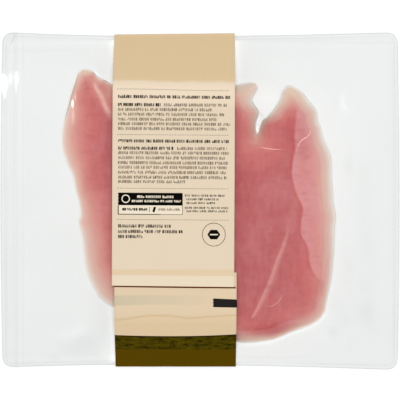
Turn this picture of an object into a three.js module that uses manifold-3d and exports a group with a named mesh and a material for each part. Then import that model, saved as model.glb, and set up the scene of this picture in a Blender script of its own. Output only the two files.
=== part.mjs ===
// A raw turkey breast fillet in its vacuum pack: one broad fillet, opened out flat, sealed between two
// clear films, with a printed card band wrapped round the pack and glued to itself on the upper side.
//
// Millimetres, +Z up. The pack lies flat with the back of its band up. The origin is on the surface it
// lies on, under the middle of the pack. +X runs along the pack's long sides, and the band runs along Y.

import * as THREE from "three";
import { mergeVertices } from "three/addons/utils/BufferGeometryUtils.js";
import Module from "manifold-3d";

// Film pack: the two films, sealed flat all round the fillet.
const PACK_LENGTH = 230; // along X
const PACK_WIDTH = 194.4; // along Y, from corner to corner
const CORNER_RADIUS = 7;
const SIDE_BOW = 1; // the short sides bow out by this much
const BAND_PINCH = 2.1; // the band draws in the long sides by this much
const SKEW_CUT = 1.4; // the lower left corner is cut short by this much
const SEAL_THICKNESS = 1.1; // both films and the ripple in their seal

// Fillet: the outline that the films cling to.
const WING_THICKNESS = 7.5; // where the meat thins out to both sides
const RIDGE_THICKNESS = 17.6; // the thick middle, under the band
const RIDGE_MIDDLE = new THREE.Vector2(5, -8);
const RIDGE_REACH = new THREE.Vector2(60, 88); // how far the thick middle reaches along X and Y
const LEFT_ROUNDING = 17; // the left-hand edge rounds over gently, within this distance
const RIGHT_ROUNDING = 11; // the right-hand edge is steeper
const FOOT_HEIGHT = 0.9; // the film stands this far above the seal right at the outline

// Card band.
const CARD_THICKNESS = 0.4;
const BAND_WIDTH = 69.8;
const BAND_MIDDLE = -14.7; // along X
const TAIL_DRIFT = 1.3; // the glued-under end lies this much further along X
const BAND_TOP = 18.9; // middle of the card where it crosses the middle of the fillet
const BAND_CROWN = 0.5; // it is this much lower at its creases
const UPPER_CREASE = 66.9; // along Y, where the band bends down towards its upper fold
const LOWER_CREASE = -65.8;
const CREASE_REACH = 4; // the bend at a crease spreads this far to both sides
const UPPER_FOLD = 95.3; // the folds round the pack's edges turn about these lines
const LOWER_FOLD = -94.4;
const FOLD_RADIUS = 0.775; // to the middle of the card
const FLAP_END = -48.3; // the glued-over end
const TAIL_END = -40.4; // the glued-under end
const GAP = 0.35; // between pieces that touch

const OUTLINE_STEPS = 4; // straight stretches for each point of the outline
const LATTICE = 2.8; // spacing of the points that the film over the meat is made of

const wasm = await Module();
wasm.setup();

// A closed geometry as a solid that can be joined and cut.
function solid(geometry) {
  geometry.deleteAttribute("normal");
  geometry.deleteAttribute("uv");
  const merged = mergeVertices(geometry, 1e-3);
  return new wasm.Manifold(
    new wasm.Mesh({
      numProp: 3,
      vertProperties: merged.attributes.position.array,
      triVerts: new Uint32Array(merged.index.array),
    }),
  );
}

// A solid as a geometry.
function geometryOf(made) {
  const mesh = made.getMesh();
  const geometry = new THREE.BufferGeometry();
  geometry.setAttribute("position", new THREE.BufferAttribute(mesh.vertProperties, 3));
  geometry.setIndex(new THREE.BufferAttribute(mesh.triVerts, 1));
  geometry.computeVertexNormals();
  return geometry;
}

function namedMesh(name, geometry, material) {
  const mesh = new THREE.Mesh(geometry, material);
  mesh.name = name;
  return mesh;
}

// --- Film pack ---------------------------------------------------------------------------------------

// The pack's outer edge: a rectangle with round corners, short sides that bow out and long sides that the
// band draws in.
function packEdge() {
  const x = PACK_LENGTH / 2 - SIDE_BOW;
  const y = PACK_WIDTH / 2;
  const r = CORNER_RADIUS;
  const edge = new THREE.Shape();
  edge.moveTo(r - x, y);
  edge.quadraticCurveTo(2 * BAND_MIDDLE, y - 2 * BAND_PINCH, x - r, y);
  edge.quadraticCurveTo(x, y, x, y - r);
  edge.quadraticCurveTo(x + 2 * SIDE_BOW, 0, x, r - y);
  edge.quadraticCurveTo(x, -y, x - r, -y);
  edge.quadraticCurveTo(2 * BAND_MIDDLE, SKEW_CUT / 2 + 2 * BAND_PINCH - y, r - x, SKEW_CUT - y);
  edge.quadraticCurveTo(-x, SKEW_CUT - y, -x, SKEW_CUT + r - y);
  edge.quadraticCurveTo(-x - 2 * SIDE_BOW, 0, -x, y - r);
  edge.quadraticCurveTo(-x, y, r - x, y);
  return edge;
}

// The fillet's outline, clockwise from the left-hand tip, as a smooth closed curve.
function filletOutline() {
  const leftTip = [[-69.5, 74], [-66, 76], [-62, 74.5], [-57.5, 71.2], [-50.4, 68]];
  const topUnderBand = [[-34, 66.3], [-14, 66.6], [6, 67.4]];
  const middleLobe = [[21.5, 68], [28.5, 67.6], [31.6, 65.2], [31.5, 59.7], [32, 53.9], [33, 48.7]];
  const notch = [[32.7, 43.5], [33.5, 39.4], [35.8, 43], [39, 50.1], [43.4, 57.4], [46.4, 63.1]];
  const rightTip = [[49.5, 66.4], [53.3, 66], [58.5, 63.1], [63.3, 57.4], [67.5, 51.2], [68.6, 45.2]];
  const rightSide = [[71.4, 36], [75, 25.6], [76.6, 9], [77.6, -8.5], [77.5, -26], [76, -43]];
  const rightCorner = [[73.6, -57], [71, -64.8], [66.6, -70.8]];
  const bottom = [[58, -74.6], [46.4, -78.4], [36, -81.2], [26, -82]];
  const bottomUnderBand = [[15, -81], [-1, -77.6], [-19, -73], [-37, -67.4]];
  const leftSide = [[-50.4, -61.3], [-56.8, -57], [-61.6, -49.9], [-65.4, -39], [-67.6, -23], [-69, -9]];
  const leftBulge = [[-71.2, 6], [-75, 18.7], [-78.6, 28], [-79.8, 38], [-78.2, 50], [-75.6, 61]];
  const leftShoulder = [[-73, 69.5]];
  const points = [
    ...leftTip,
    ...topUnderBand,
    ...middleLobe,
    ...notch,
    ...rightTip,
    ...rightSide,
    ...rightCorner,
    ...bottom,
    ...bottomUnderBand,
    ...leftSide,
    ...leftBulge,
    ...leftShoulder,
  ];
  const curve = new THREE.CatmullRomCurve3(
    points.map(([x, y]) => new THREE.Vector3(x, y, 0)),
    true,
  );
  return curve.getPoints(points.length * OUTLINE_STEPS).slice(0, -1);
}

// The point of the outline that is nearest to this one.
function nearestOn(outline, point) {
  const stretch = new THREE.Line3();
  const found = new THREE.Vector3();
  const nearest = outline[0].clone();
  outline.forEach((start, i) => {
    stretch.set(start, outline[(i + 1) % outline.length]);
    stretch.closestPointToPoint(point, true, found);
    if (found.distanceToSquared(point) < nearest.distanceToSquared(point)) nearest.copy(found);
  });
  return nearest;
}

// Whether the point lies inside the outline: a line from it to the right crosses the outline once, or
// another odd number of times.
function isInside(outline, point) {
  let inside = false;
  outline.forEach((a, i) => {
    const b = outline[(i + 1) % outline.length];
    const crosses = a.y > point.y !== b.y > point.y;
    if (crosses && point.x < a.x + ((b.x - a.x) * (point.y - a.y)) / (b.y - a.y)) inside = !inside;
  });
  return inside;
}

// The meat's own thickness there, before its edge rounds over.
function meatThickness(x, y) {
  const across = ((x - RIDGE_MIDDLE.x) / RIDGE_REACH.x) ** 4;
  const along = ((y - RIDGE_MIDDLE.y) / RIDGE_REACH.y) ** 4;
  return WING_THICKNESS + (RIDGE_THICKNESS - WING_THICKNESS) * Math.exp(-across - along);
}

// The highest that the film may lie there: clear of the band, and free beside it.
function roomUnderBand(x, y) {
  const beside = Math.max(0, Math.abs(x - BAND_MIDDLE) - BAND_WIDTH / 2 - 3 * TAIL_DRIFT);
  return bandUnderside(y) - GAP + beside;
}

// The film's height over the meat, at this distance inside the outline.
function filmHeight(x, y, distance) {
  const toRight = THREE.MathUtils.smoothstep(x, -50, 20);
  const inside = Math.min(distance / THREE.MathUtils.lerp(LEFT_ROUNDING, RIGHT_ROUNDING, toRight), 1);
  const rounding = Math.sin((Math.PI / 2) * inside);
  const edge = SEAL_THICKNESS + FOOT_HEIGHT;
  return Math.min(edge + (meatThickness(x, y) - edge) * rounding, roomUnderBand(x, y));
}

// An even lattice of triangles over the fillet. Its points near the outline are moved onto it, so that
// the film's foot follows the outline. Each point has the film's height.
function filmLattice(outline) {
  const rowStep = LATTICE * Math.sin(Math.PI / 3);
  const box = new THREE.Box3().setFromPoints(outline).expandByScalar(LATTICE);
  const columns = Math.ceil((box.max.x - box.min.x) / LATTICE);
  const rows = Math.ceil((box.max.y - box.min.y) / rowStep);
  const points = [];
  const kept = [];
  for (let row = 0; row <= rows; row++) {
    for (let column = 0; column <= columns; column++) {
      const along = (column + (row % 2) / 2) * LATTICE;
      const point = new THREE.Vector3(box.min.x + along, box.min.y + row * rowStep, 0);
      const nearest = nearestOn(outline, point);
      const onOutline = nearest.distanceTo(point) < LATTICE / 2;
      kept.push(onOutline || isInside(outline, point));
      if (onOutline) point.copy(nearest);
      points.push(point.setZ(filmHeight(point.x, point.y, nearest.distanceTo(point))));
    }
  }
  const triangles = [];
  for (let row = 0; row < rows; row++) {
    for (let column = 0; column < columns; column++) {
      const a = row * (columns + 1) + column;
      const b = a + columns + 1;
      const pair = row % 2 ? [[a, b + 1, b], [a, a + 1, b + 1]] : [[a, a + 1, b], [a + 1, b + 1, b]];
      triangles.push(...pair);
    }
  }
  const inOutline = (triangle) => {
    const flat = triangle.map((i) => points[i].clone().setZ(0));
    const middle = new THREE.Triangle(...flat).getMidpoint(new THREE.Vector3());
    return triangle.every((i) => kept[i]) && isInside(outline, middle);
  };
  return { points, triangles: triangles.filter(inOutline) };
}

// The meat under its film, as a closed solid: the lattice on top, the same lattice flat inside the seal,
// and a wall between them all along their rim.
function meatMound() {
  const { points, triangles } = filmLattice(filletOutline());
  const base = points.map((point) => point.clone().setZ(SEAL_THICKNESS / 2));
  const below = (i) => points.length + i;
  const indices = [];
  const edges = new Set(triangles.flatMap(([a, b, c]) => [`${a} ${b}`, `${b} ${c}`, `${c} ${a}`]));
  for (const [a, b, c] of triangles) {
    indices.push(a, b, c, below(c), below(b), below(a));
  }
  for (const edge of edges) {
    const [a, b] = edge.split(" ").map(Number);
    if (!edges.has(`${b} ${a}`)) indices.push(a, below(a), b, b, below(a), below(b));
  }
  const geometry = new THREE.BufferGeometry().setFromPoints([...points, ...base]);
  geometry.setIndex(indices);
  return geometry;
}

// The shallow hollow that the band presses into the pack's underside.
function bandChannel() {
  const width = BAND_WIDTH + 2 * TAIL_DRIFT + 2 * GAP;
  const depth = CARD_THICKNESS + GAP;
  const channel = new THREE.BoxGeometry(width, 2 * PACK_WIDTH, 2 * depth);
  return channel.translate(BAND_MIDDLE + TAIL_DRIFT / 2, 0, 0);
}

function filmPack() {
  const seal = new THREE.ExtrudeGeometry(packEdge(), {
    depth: SEAL_THICKNESS,
    bevelEnabled: false,
    curveSegments: 8,
  });
  const made = solid(seal).add(solid(meatMound())).subtract(solid(bandChannel()));
  const material = new THREE.MeshStandardMaterial({ color: 0xd98d8c, roughness: 0.2, metalness: 0 });
  return namedMesh("film_pack", geometryOf(made), material);
}

// --- Card band ---------------------------------------------------------------------------------------

// Height of the middle of the card where it lies flat over the fillet.
function bandTop(y) {
  return BAND_TOP - BAND_CROWN * (y / UPPER_CREASE) ** 2;
}

// Height of the lower face of the band's lowest layer.
function bandUnderside(y) {
  const crease = y > 0 ? UPPER_CREASE - CREASE_REACH : LOWER_CREASE + CREASE_REACH;
  const fold = y > 0 ? UPPER_FOLD : LOWER_FOLD;
  const layer = y > TAIL_END + GAP ? 0 : CARD_THICKNESS + GAP;
  const past = THREE.MathUtils.clamp((y - crease) / (fold - crease), 0, 1);
  const flat = bandTop(past > 0 ? crease : y) - layer;
  return THREE.MathUtils.lerp(flat, 2 * FOLD_RADIUS, past) - CARD_THICKNESS / 2;
}

// The band's middle line, in Y and Z, from its glued-under end round the pack to its glued-over end.
function bandLine() {
  const under = CARD_THICKNESS + GAP;
  const floor = CARD_THICKNESS / 2;
  const foldTop = floor + 2 * FOLD_RADIUS;
  const lowerCrease = new THREE.Vector2(LOWER_CREASE, bandTop(LOWER_CREASE) - under);
  const upperCrease = new THREE.Vector2(UPPER_CREASE, bandTop(UPPER_CREASE));
  const lowerSlope = new THREE.Vector2(LOWER_FOLD, foldTop);
  const upperSlope = new THREE.Vector2(UPPER_FOLD, foldTop);
  const bentBy = (crease, slope) => CREASE_REACH / Math.abs(slope.x - crease.x);
  const pastLower = lowerCrease.clone().lerp(lowerSlope, bentBy(lowerCrease, lowerSlope));
  const pastUpper = upperCrease.clone().lerp(upperSlope, bentBy(upperCrease, upperSlope));
  const flatEnd = UPPER_CREASE - CREASE_REACH;
  const line = new THREE.Path();
  line.moveTo(TAIL_END, bandTop(TAIL_END) - under);
  line.lineTo(LOWER_CREASE + CREASE_REACH, bandTop(LOWER_CREASE + CREASE_REACH) - under);
  line.quadraticCurveTo(lowerCrease.x, lowerCrease.y, pastLower.x, pastLower.y);
  line.lineTo(LOWER_FOLD, foldTop);
  line.absarc(LOWER_FOLD, floor + FOLD_RADIUS, FOLD_RADIUS, Math.PI / 2, (3 * Math.PI) / 2, false);
  line.lineTo(UPPER_FOLD, floor);
  line.absarc(UPPER_FOLD, floor + FOLD_RADIUS, FOLD_RADIUS, -Math.PI / 2, Math.PI / 2, false);
  line.lineTo(pastUpper.x, pastUpper.y);
  line.quadraticCurveTo(upperCrease.x, upperCrease.y, flatEnd, bandTop(flatEnd));
  const crown = new THREE.Vector2((flatEnd + FLAP_END) / 2, 2 * BAND_TOP - bandTop(flatEnd));
  line.quadraticCurveTo(crown.x, crown.y, FLAP_END, bandTop(FLAP_END));
  return line.getPoints(6);
}

// A flat strip of card, bent along the band's line. Its glued-under end drifts along X, and the drift
// runs out along the pack's underside.
function cardBand() {
  const line = bandLine();
  const steps = line.length - 1;
  const strip = new THREE.BoxGeometry(BAND_WIDTH, CARD_THICKNESS, steps, 4, 1, steps);
  const position = strip.attributes.position;
  for (let i = 0; i < position.count; i++) {
    const at = Math.round(position.getZ(i) + steps / 2);
    const before = line[Math.max(at - 1, 0)];
    const after = line[Math.min(at + 1, steps)];
    const along = new THREE.Vector2().subVectors(after, before).normalize();
    const off = position.getY(i);
    const y = line[at].x + along.y * off;
    const z = line[at].y - along.x * off;
    const underneath = z < FOLD_RADIUS;
    const share = underneath ? (UPPER_FOLD - y) / (UPPER_FOLD - LOWER_FOLD) : Number(at < steps / 2);
    const drift = TAIL_DRIFT * THREE.MathUtils.clamp(share, 0, 1);
    position.setXYZ(i, BAND_MIDDLE + drift + position.getX(i), y, z);
  }
  const material = new THREE.MeshStandardMaterial({ color: 0xe6d4b4, roughness: 0.55, metalness: 0 });
  return namedMesh("card_band", geometryOf(solid(strip)), material);
}

const packedFillet = new THREE.Group();
packedFillet.add(filmPack(), cardBand());

export default packedFillet;
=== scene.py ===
# A raw turkey breast fillet in its vacuum pack, with a printed card band round it. It lies flat on a white
# surface with the back of the band up, and is seen from straight above. Sizes are in millimetres in this
# file and become metres where a mesh is made.

import math
import random

import bpy
import numpy as np
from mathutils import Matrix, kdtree


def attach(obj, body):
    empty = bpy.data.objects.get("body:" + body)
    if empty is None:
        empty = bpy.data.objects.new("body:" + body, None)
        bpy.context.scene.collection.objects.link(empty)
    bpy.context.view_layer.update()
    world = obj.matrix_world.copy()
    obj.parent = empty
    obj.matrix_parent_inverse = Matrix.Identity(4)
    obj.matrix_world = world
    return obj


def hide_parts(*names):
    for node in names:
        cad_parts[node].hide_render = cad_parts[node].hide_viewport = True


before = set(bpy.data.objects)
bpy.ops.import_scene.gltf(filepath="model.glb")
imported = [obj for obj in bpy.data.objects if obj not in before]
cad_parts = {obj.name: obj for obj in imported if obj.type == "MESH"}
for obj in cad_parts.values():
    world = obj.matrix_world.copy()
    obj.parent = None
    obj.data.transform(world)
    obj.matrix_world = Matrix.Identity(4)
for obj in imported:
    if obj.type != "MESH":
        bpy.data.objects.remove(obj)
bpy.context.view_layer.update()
scene = bpy.context.scene

# --- Camera, light and floor -----------------------------------------------------------------------------
# Stage only: a white surface under a soft overhead light, two side lights and a pale room, with the camera
# straight above the middle of the pack.

camera_data = bpy.data.cameras.new("camera")
camera_data.lens = 148.3  # the frame is then 230.6 mm wide at the pack's seal
camera = bpy.data.objects.new("camera", camera_data)
camera.location = (0, 0.0006, 0.9505)
scene.collection.objects.link(camera)
scene.camera = camera
scene.view_settings.view_transform = "Standard"

for name, away, up, wide, energy in (
    ("overhead_light", 0, 1.1, 0.3, 9.8),
    ("left_light", -0.45, 1.1, 0.7, 1.5),
    ("right_light", 0.45, 1.1, 0.7, 1.5),
    ("low_left_light", -1.1, 0.42, 0.2, 0.2),
    ("low_right_light", 1.1, 0.42, 0.2, 0.2),
):
    lamp_data = bpy.data.lights.new(name, "AREA")
    lamp_data.shape = "RECTANGLE"
    lamp_data.size, lamp_data.size_y = wide, 1.0
    lamp_data.energy = energy
    lamp = bpy.data.objects.new(name, lamp_data)
    lamp.location = (away, 0.05, up)
    lamp.rotation_euler = (0, math.atan2(away, up), 0)
    lamp.visible_glossy = name.startswith("low")  # only the low ones are mirrored in the film
    scene.collection.objects.link(lamp)

room = bpy.data.worlds.new("pale_room")
room.use_nodes = True
room.node_tree.nodes["Background"].inputs["Color"].default_value = (1, 1, 1, 1)
room.node_tree.nodes["Background"].inputs["Strength"].default_value = 0.3
scene.world = room


def material(name, **sockets):
    """A material with one Principled shader and these values on its own sockets."""
    made = bpy.data.materials.new(name)
    made.use_nodes = True
    shader = made.node_tree.nodes["Principled BSDF"]
    for socket, value in sockets.items():
        shader.inputs[socket.replace("_", " ")].default_value = value
    return made


def mesh_object(name, points, faces, finish):
    """A smooth mesh object from points in millimetres."""
    mesh = bpy.data.meshes.new(name)
    mesh.from_pydata((np.asarray(points, float) / 1000).tolist(), [], faces)
    mesh.shade_smooth()
    mesh.set_sharp_from_angle(angle=math.radians(50))
    mesh.materials.append(finish)
    made = bpy.data.objects.new(name, mesh)
    scene.collection.objects.link(made)
    return made


floor = mesh_object(
    "floor",
    [(-3000, -3000, -0.2), (3000, -3000, -0.2), (3000, 3000, -0.2), (-3000, 3000, -0.2)],
    [(0, 1, 2, 3)],
    material("white_surface", Base_Color=(0.9, 0.9, 0.9, 1), Roughness=0.9),
)

# --- Turkey fillet ---------------------------------------------------------------------------------------
# One broad turkey breast muscle, cut open and laid flat. It is raw meat, soft, moist and a little see-through
# where it is thin. A smaller muscle lies over its right side, and a white sinew runs down beside it.

WING_THICKNESS, RIDGE_THICKNESS = 7.5, 17.6
RIDGE_MIDDLE, RIDGE_REACH = (5, -8), (60, 88)
LEFT_ROUNDING, RIGHT_ROUNDING = 17, 11  # how far in from its edge the meat rounds over
MEAT_FLOOR = 0.2  # the meat's underside, on the lower film
MEAT_EDGE = 0.5  # height of its thin edge
FILLET_OUTLINE = [
    # the left piece's tip, and the edge that goes under the band
    (-69.6, 74.8), (-67.6, 76.2), (-65.2, 75.9), (-63, 75.3), (-61.1, 74), (-59.8, 72.1), (-58.5, 71.2),
    (-57.2, 70.5), (-55, 70.2), (-53.2, 68.8), (-50.3, 67.3), (-34, 66.5), (-14, 66.8), (6, 66.8), (21.6, 67),
    # the lobe beside the notch, and the notch
    (26.1, 67.8), (30.2, 68.3), (32.8, 67.3), (33.3, 64.8), (32, 62.2), (30.7, 60), (30, 57.8), (31, 55.8),
    (32.3, 54), (33.6, 52), (33.9, 50.4), (33.1, 48.6), (32.1, 45.6), (31.8, 42.4), (32.2, 39.8),
    (32.8, 38.6), (33.6, 39.8), (34.5, 42), (35.4, 44.4), (36.5, 46.6), (38.1, 48), (39.9, 49.7), (42, 52.2),
    (43.6, 54.4), (45.3, 57), (46.4, 59.5),
    # the right tip and the right side
    (47.1, 62.4), (48.3, 64.7), (50.9, 66.5), (53.7, 66.1), (57.2, 64.1), (60.1, 61.5), (62.7, 57.8),
    (65.2, 54.9), (67.3, 52), (67.8, 49.1), (67.8, 46.8), (69, 44), (70, 41.7), (70.6, 38.2), (71.7, 34.8),
    (73.4, 31.3), (74.8, 27.9), (75.9, 23.3), (76.1, 17.5), (76.1, 11.8), (76.6, 6), (76.9, 0.3),
    (77.5, -3.7), (78.2, -6.6), (78.5, -9.5), (78.2, -12.4), (77.6, -15.2), (77.6, -18.1), (77.7, -21.6),
    (77.5, -26.1), (77.1, -31.3),
    (76.7, -37.1), (76.1, -42.8), (75.3, -47.4), (74.4, -51.4), (73.5, -55.5), (72.7, -58.9), (72.4, -62.2),
    # the bottom edge
    (71.4, -65.2), (69.5, -67.8), (67, -69.9), (63.8, -71.8), (59.5, -73.3), (55.5, -74.7), (50.9, -76.4),
    (46.3, -78.4), (41.7, -80.1), (37.1, -80.9), (32.5, -81.6), (27.9, -81.9), (23.8, -81.6), (12.9, -80.2),
    (-2.6, -76.7), (-19.8, -72.1), (-37.1, -66.4), (-46.8, -62.4),
    # the left side
    (-52.1, -60.3), (-55, -58.3), (-58, -55.5), (-60.3, -52), (-62.3, -48.6), (-64.3, -44.5), (-65.8, -40.5),
    (-66.7, -36.5), (-67.1, -32.5), (-67.5, -27.9), (-67.8, -23.3), (-68.5, -19.3), (-69.3, -15.8),
    (-70.1, -13.2), (-70, -10.6), (-69.2, -8.3), (-69.2, -6), (-69.7, -2.6), (-70.3, 0.9), (-71.4, 4.3),
    (-72.3, 8.3), (-73, 12.9),
    (-74.4, 17), (-76.3, 20.4), (-77.9, 24.4), (-79.3, 28.4), (-80, 32.5), (-80.1, 36.5), (-79.8, 40.5),
    (-79.1, 44), (-78.5, 46.8), (-77.8, 49.7), (-77, 52.6), (-76.2, 55.5), (-75.6, 58.3), (-74.8, 61.2),
    (-73.9, 64.1), (-73, 66.9), (-72.2, 69.8), (-71.2, 72.5),
]
OVERLAP_EDGE = [  # where the smaller muscle's edge lies over the fillet, from below to the top
    (72, -48.1), (69.1, -45.8), (67.4, -44.1), (65.2, -41.3), (63.4, -37.8), (62.6, -33.9), (62.3, -29.9),
    (61.5, -26.5), (60, -23), (58.3, -19.6), (57.4, -16.2), (57.6, -13.4), (58, -10), (58.6, -7.1),
    (58.9, -4.3), (57.8, -1.4), (56, 2), (54.3, 6), (53.5, 9.4), (52.6, 12.8), (52.3, 16.2), (52.6, 20.2),
    (53.2, 24.2), (54.1, 28.2), (54.3, 32.1), (53.9, 36.1), (54.1, 40.1), (54.3, 43.5), (54.6, 46.9),
    (55, 49.8), (55.5, 52.6), (55.6, 57.2), (55.7, 62),
]
SINEW_LINE = [
    (51, -14), (49.4, -18.5), (46.9, -25.8), (44, -32.7), (41.2, -40.6), (38.9, -46.9), (36.1, -53.1),
    (33.2, -59.3), (30.9, -63.9), (28.7, -67.3),
]
FAINT_SINEW = [(54.6, 1), (52.6, -7), (49.8, -16)]
FOLD_LINE = [(-61.2, 69.5), (-59.2, 64.3), (-57.5, 62), (-55.8, 58.6), (-54, 54), (-51.8, 50), (-48.5, 45.5)]
MEAT_STEP = 0.75  # between the points of its mesh


def smooth_closed_curve(points, steps):
    """A closed curve through the points, without overshoot, as straight steps between each two of them."""
    p1 = np.asarray(points, float)
    p0, p2, p3 = np.roll(p1, 1, 0), np.roll(p1, -1, 0), np.roll(p1, -2, 0)
    gap = [np.sqrt(np.linalg.norm(b - a, axis=1))[:, None] for a, b in ((p0, p1), (p1, p2), (p2, p3))]
    out1 = ((p1 - p0) / gap[0] - (p2 - p0) / (gap[0] + gap[1]) + (p2 - p1) / gap[1]) * gap[1]
    out2 = ((p2 - p1) / gap[1] - (p3 - p1) / (gap[1] + gap[2]) + (p3 - p2) / gap[2]) * gap[1]
    curve = [
        p1 + out1 * t + (3 * (p2 - p1) - 2 * out1 - out2) * t**2 + (2 * (p1 - p2) + out1 + out2) * t**3
        for t in np.arange(steps) / steps
    ]
    return np.stack(curve, 1).reshape(-1, 2)


def nearest_on(line, points, closed=False):
    """How far each point is from the line, the nearest place on it, and how far along it that is, 0 to 1."""
    line = np.asarray(line, float)
    if closed:
        line = np.vstack([line, line[:1]])
    share = np.linspace(0, 1, 8, endpoint=False)[None, :, None]
    fine = np.vstack([(line[:-1, None] + (line[1:] - line[:-1])[:, None] * share).reshape(-1, 2), line[-1:]])
    pieces = len(fine) - 1
    tree = kdtree.KDTree(pieces)
    for i, place in enumerate(fine[:-1]):
        tree.insert((*place, 0), i)
    tree.balance()
    points = np.asarray(points, float)
    index = np.array([tree.find((x, y, 0))[1] for x, y in points], int)
    distance, nearest, along = np.full(len(points), np.inf), np.zeros((len(points), 2)), np.zeros(len(points))
    for first in (index - 1, index):  # the nearest place is on one of the two pieces that meet there
        first = first % pieces if closed else np.clip(first, 0, pieces - 1)
        step = fine[first + 1] - fine[first]
        share = np.clip(((points - fine[first]) * step).sum(1) / np.maximum((step**2).sum(1), 1e-12), 0, 1)
        place = fine[first] + step * share[:, None]
        gap = np.linalg.norm(points - place, axis=1)
        better = gap < distance
        distance[better], nearest[better] = gap[better], place[better]
        along[better] = ((first + share) / pieces)[better]
    return distance, nearest, along


def gap_to(line, x, y, closed=False):
    """How far each point is from the line."""
    return nearest_on(line, np.column_stack([x, y]), closed)[0]


def inside(outline, points):
    """Whether each point lies inside the closed outline."""
    x, y = np.asarray(points).T
    result = np.zeros(len(x), bool)
    for (ax, ay), (bx, by) in zip(outline, np.roll(outline, -1, 0)):
        if ay != by:
            result ^= ((ay > y) != (by > y)) & (x < ax + (bx - ax) * (y - ay) / (by - ay))
    return result


def smoothstep(low, high, value):
    t = np.clip((value - low) / (high - low), 0, 1)
    return t * t * (3 - 2 * t)


def bell(offset, reach):
    """1 at no offset, and near 0 at twice this reach."""
    return np.exp(-((offset / reach) ** 2))


def waves(x, y, length, seed):
    """A soft uneven surface from -1 to 1 with swells about this long."""
    draw = np.random.default_rng(seed)
    total = np.zeros(np.shape(x))
    for _ in range(9):
        turn, phase = draw.uniform(0, 2 * math.pi, 2)
        k = 2 * math.pi / (length * draw.uniform(0.7, 1.6))
        total += np.sin(k * (x * math.cos(turn) + y * math.sin(turn)) + phase)
    return total / 5


def lattice(outline, spacing, grow=0.0):
    """Points on an even lattice of triangles inside the outline, or inside a line that runs around it at a
    distance. The points near that edge are moved onto it, and the third result says which those are."""
    low, high = outline.min(0) - 2 * spacing, outline.max(0) + 2 * spacing
    row_step = spacing * math.sin(math.pi / 3)
    columns, rows = int((high[0] - low[0]) / spacing) + 2, int((high[1] - low[1]) / row_step) + 2
    row, column = np.mgrid[0:rows, 0:columns]
    points = np.stack([low[0] + (column + (row % 2) / 2) * spacing, low[1] + row * row_step], -1)
    points = points.reshape(-1, 2)
    distance, nearest, _ = nearest_on(outline, points, closed=True)
    signed = np.where(inside(outline, points), -distance, distance)
    on_rim = np.abs(signed - grow) < spacing / 2
    kept = on_rim | (signed < grow)
    away = (points - nearest) / np.where(np.abs(signed) < 1e-9, 1, signed)[:, None]
    points[on_rim] = (nearest + away * grow)[on_rim]
    a = (row * columns + column)[:-1, :-1]
    b, odd = a + columns, (row % 2)[:-1, :-1] == 1
    first = np.where(odd[..., None], np.stack([a, b + 1, b], -1), np.stack([a, a + 1, b], -1))
    second = np.where(odd[..., None], np.stack([a, a + 1, b + 1], -1), np.stack([a + 1, b + 1, b], -1))
    triangles = np.vstack([first.reshape(-1, 3), second.reshape(-1, 3)])
    triangles = triangles[kept[triangles].all(1)]
    all_rim = on_rim[triangles].all(1)
    middle = points[triangles[all_rim]].mean(1)
    gap = nearest_on(outline, middle, closed=True)[0]
    wanted = np.ones(len(triangles), bool)
    wanted[all_rim] = np.where(inside(outline, middle), -gap, gap) < grow
    triangles = triangles[wanted]
    corner = points[triangles]
    ab, ac = corner[:, 1] - corner[:, 0], corner[:, 2] - corner[:, 0]
    triangles = triangles[ab[:, 0] * ac[:, 1] - ab[:, 1] * ac[:, 0] > 1e-4 * spacing**2]
    used, triangles = np.unique(triangles, return_inverse=True)
    return points[used], triangles.reshape(-1, 3), on_rim[used]


def closed_sheet(name, points, triangles, top, bottom, finish):
    """A closed solid between two heights over the lattice, with a low wall round its rim."""
    count = len(points)
    edges = {(int(t[i]), int(t[(i + 1) % 3])) for t in triangles for i in range(3)}
    faces = triangles.tolist() + (triangles[:, ::-1] + count).tolist()
    faces += [(b, a, a + count, b + count) for a, b in sorted(edges) if (b, a) not in edges]
    places = np.column_stack([np.vstack([points, points]), np.concatenate([top, bottom])])
    return mesh_object(name, places, faces, finish)


def bare_thickness(x, y):
    """The meat's thickness there before its edge rounds over."""
    across = ((x - RIDGE_MIDDLE[0]) / RIDGE_REACH[0]) ** 4
    along = ((y - RIDGE_MIDDLE[1]) / RIDGE_REACH[1]) ** 4
    return WING_THICKNESS + (RIDGE_THICKNESS - WING_THICKNESS) * np.exp(-across - along)


def beside_overlap(x, y):
    """How far to the right of the overlapping muscle's edge the point is."""
    line = np.array(OVERLAP_EDGE)
    return (x - np.interp(y, line[:, 1], line[:, 0])) * 0.9


def meat_top(x, y, edge_distance):
    """Height of the fillet's upper surface."""
    reach = LEFT_ROUNDING + (RIGHT_ROUNDING - LEFT_ROUNDING) * smoothstep(-50, 20, x)
    reach = reach - 6 * bell(x - 37, 9) * bell(y - 43, 9)  # steeper at the notch
    profile = np.sin(math.pi / 2 * np.clip(edge_distance / reach, 0, 1))
    side = beside_overlap(x, y)
    there = smoothstep(-52, -44, y) * smoothstep(60, 50, y) * smoothstep(0, 6, edge_distance)
    overlap = (0.4 * smoothstep(-0.8, 0.8, side) - 0.25 * np.exp(-np.abs(side) / 2.5)) * there
    lines = 0.16 * bell(gap_to(SINEW_LINE, x, y), 1.3) + 0.3 * bell(gap_to(FOLD_LINE, x, y), 1.6)
    uneven = 0.25 * waves(x, y, 34, 3) + 0.06 * waves(x, y, 9, 4)
    relief = overlap + lines + uneven
    thickness = bare_thickness(x, y) - 0.7 - MEAT_EDGE
    return MEAT_EDGE + thickness * profile + relief * smoothstep(0, 8, edge_distance)


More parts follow.
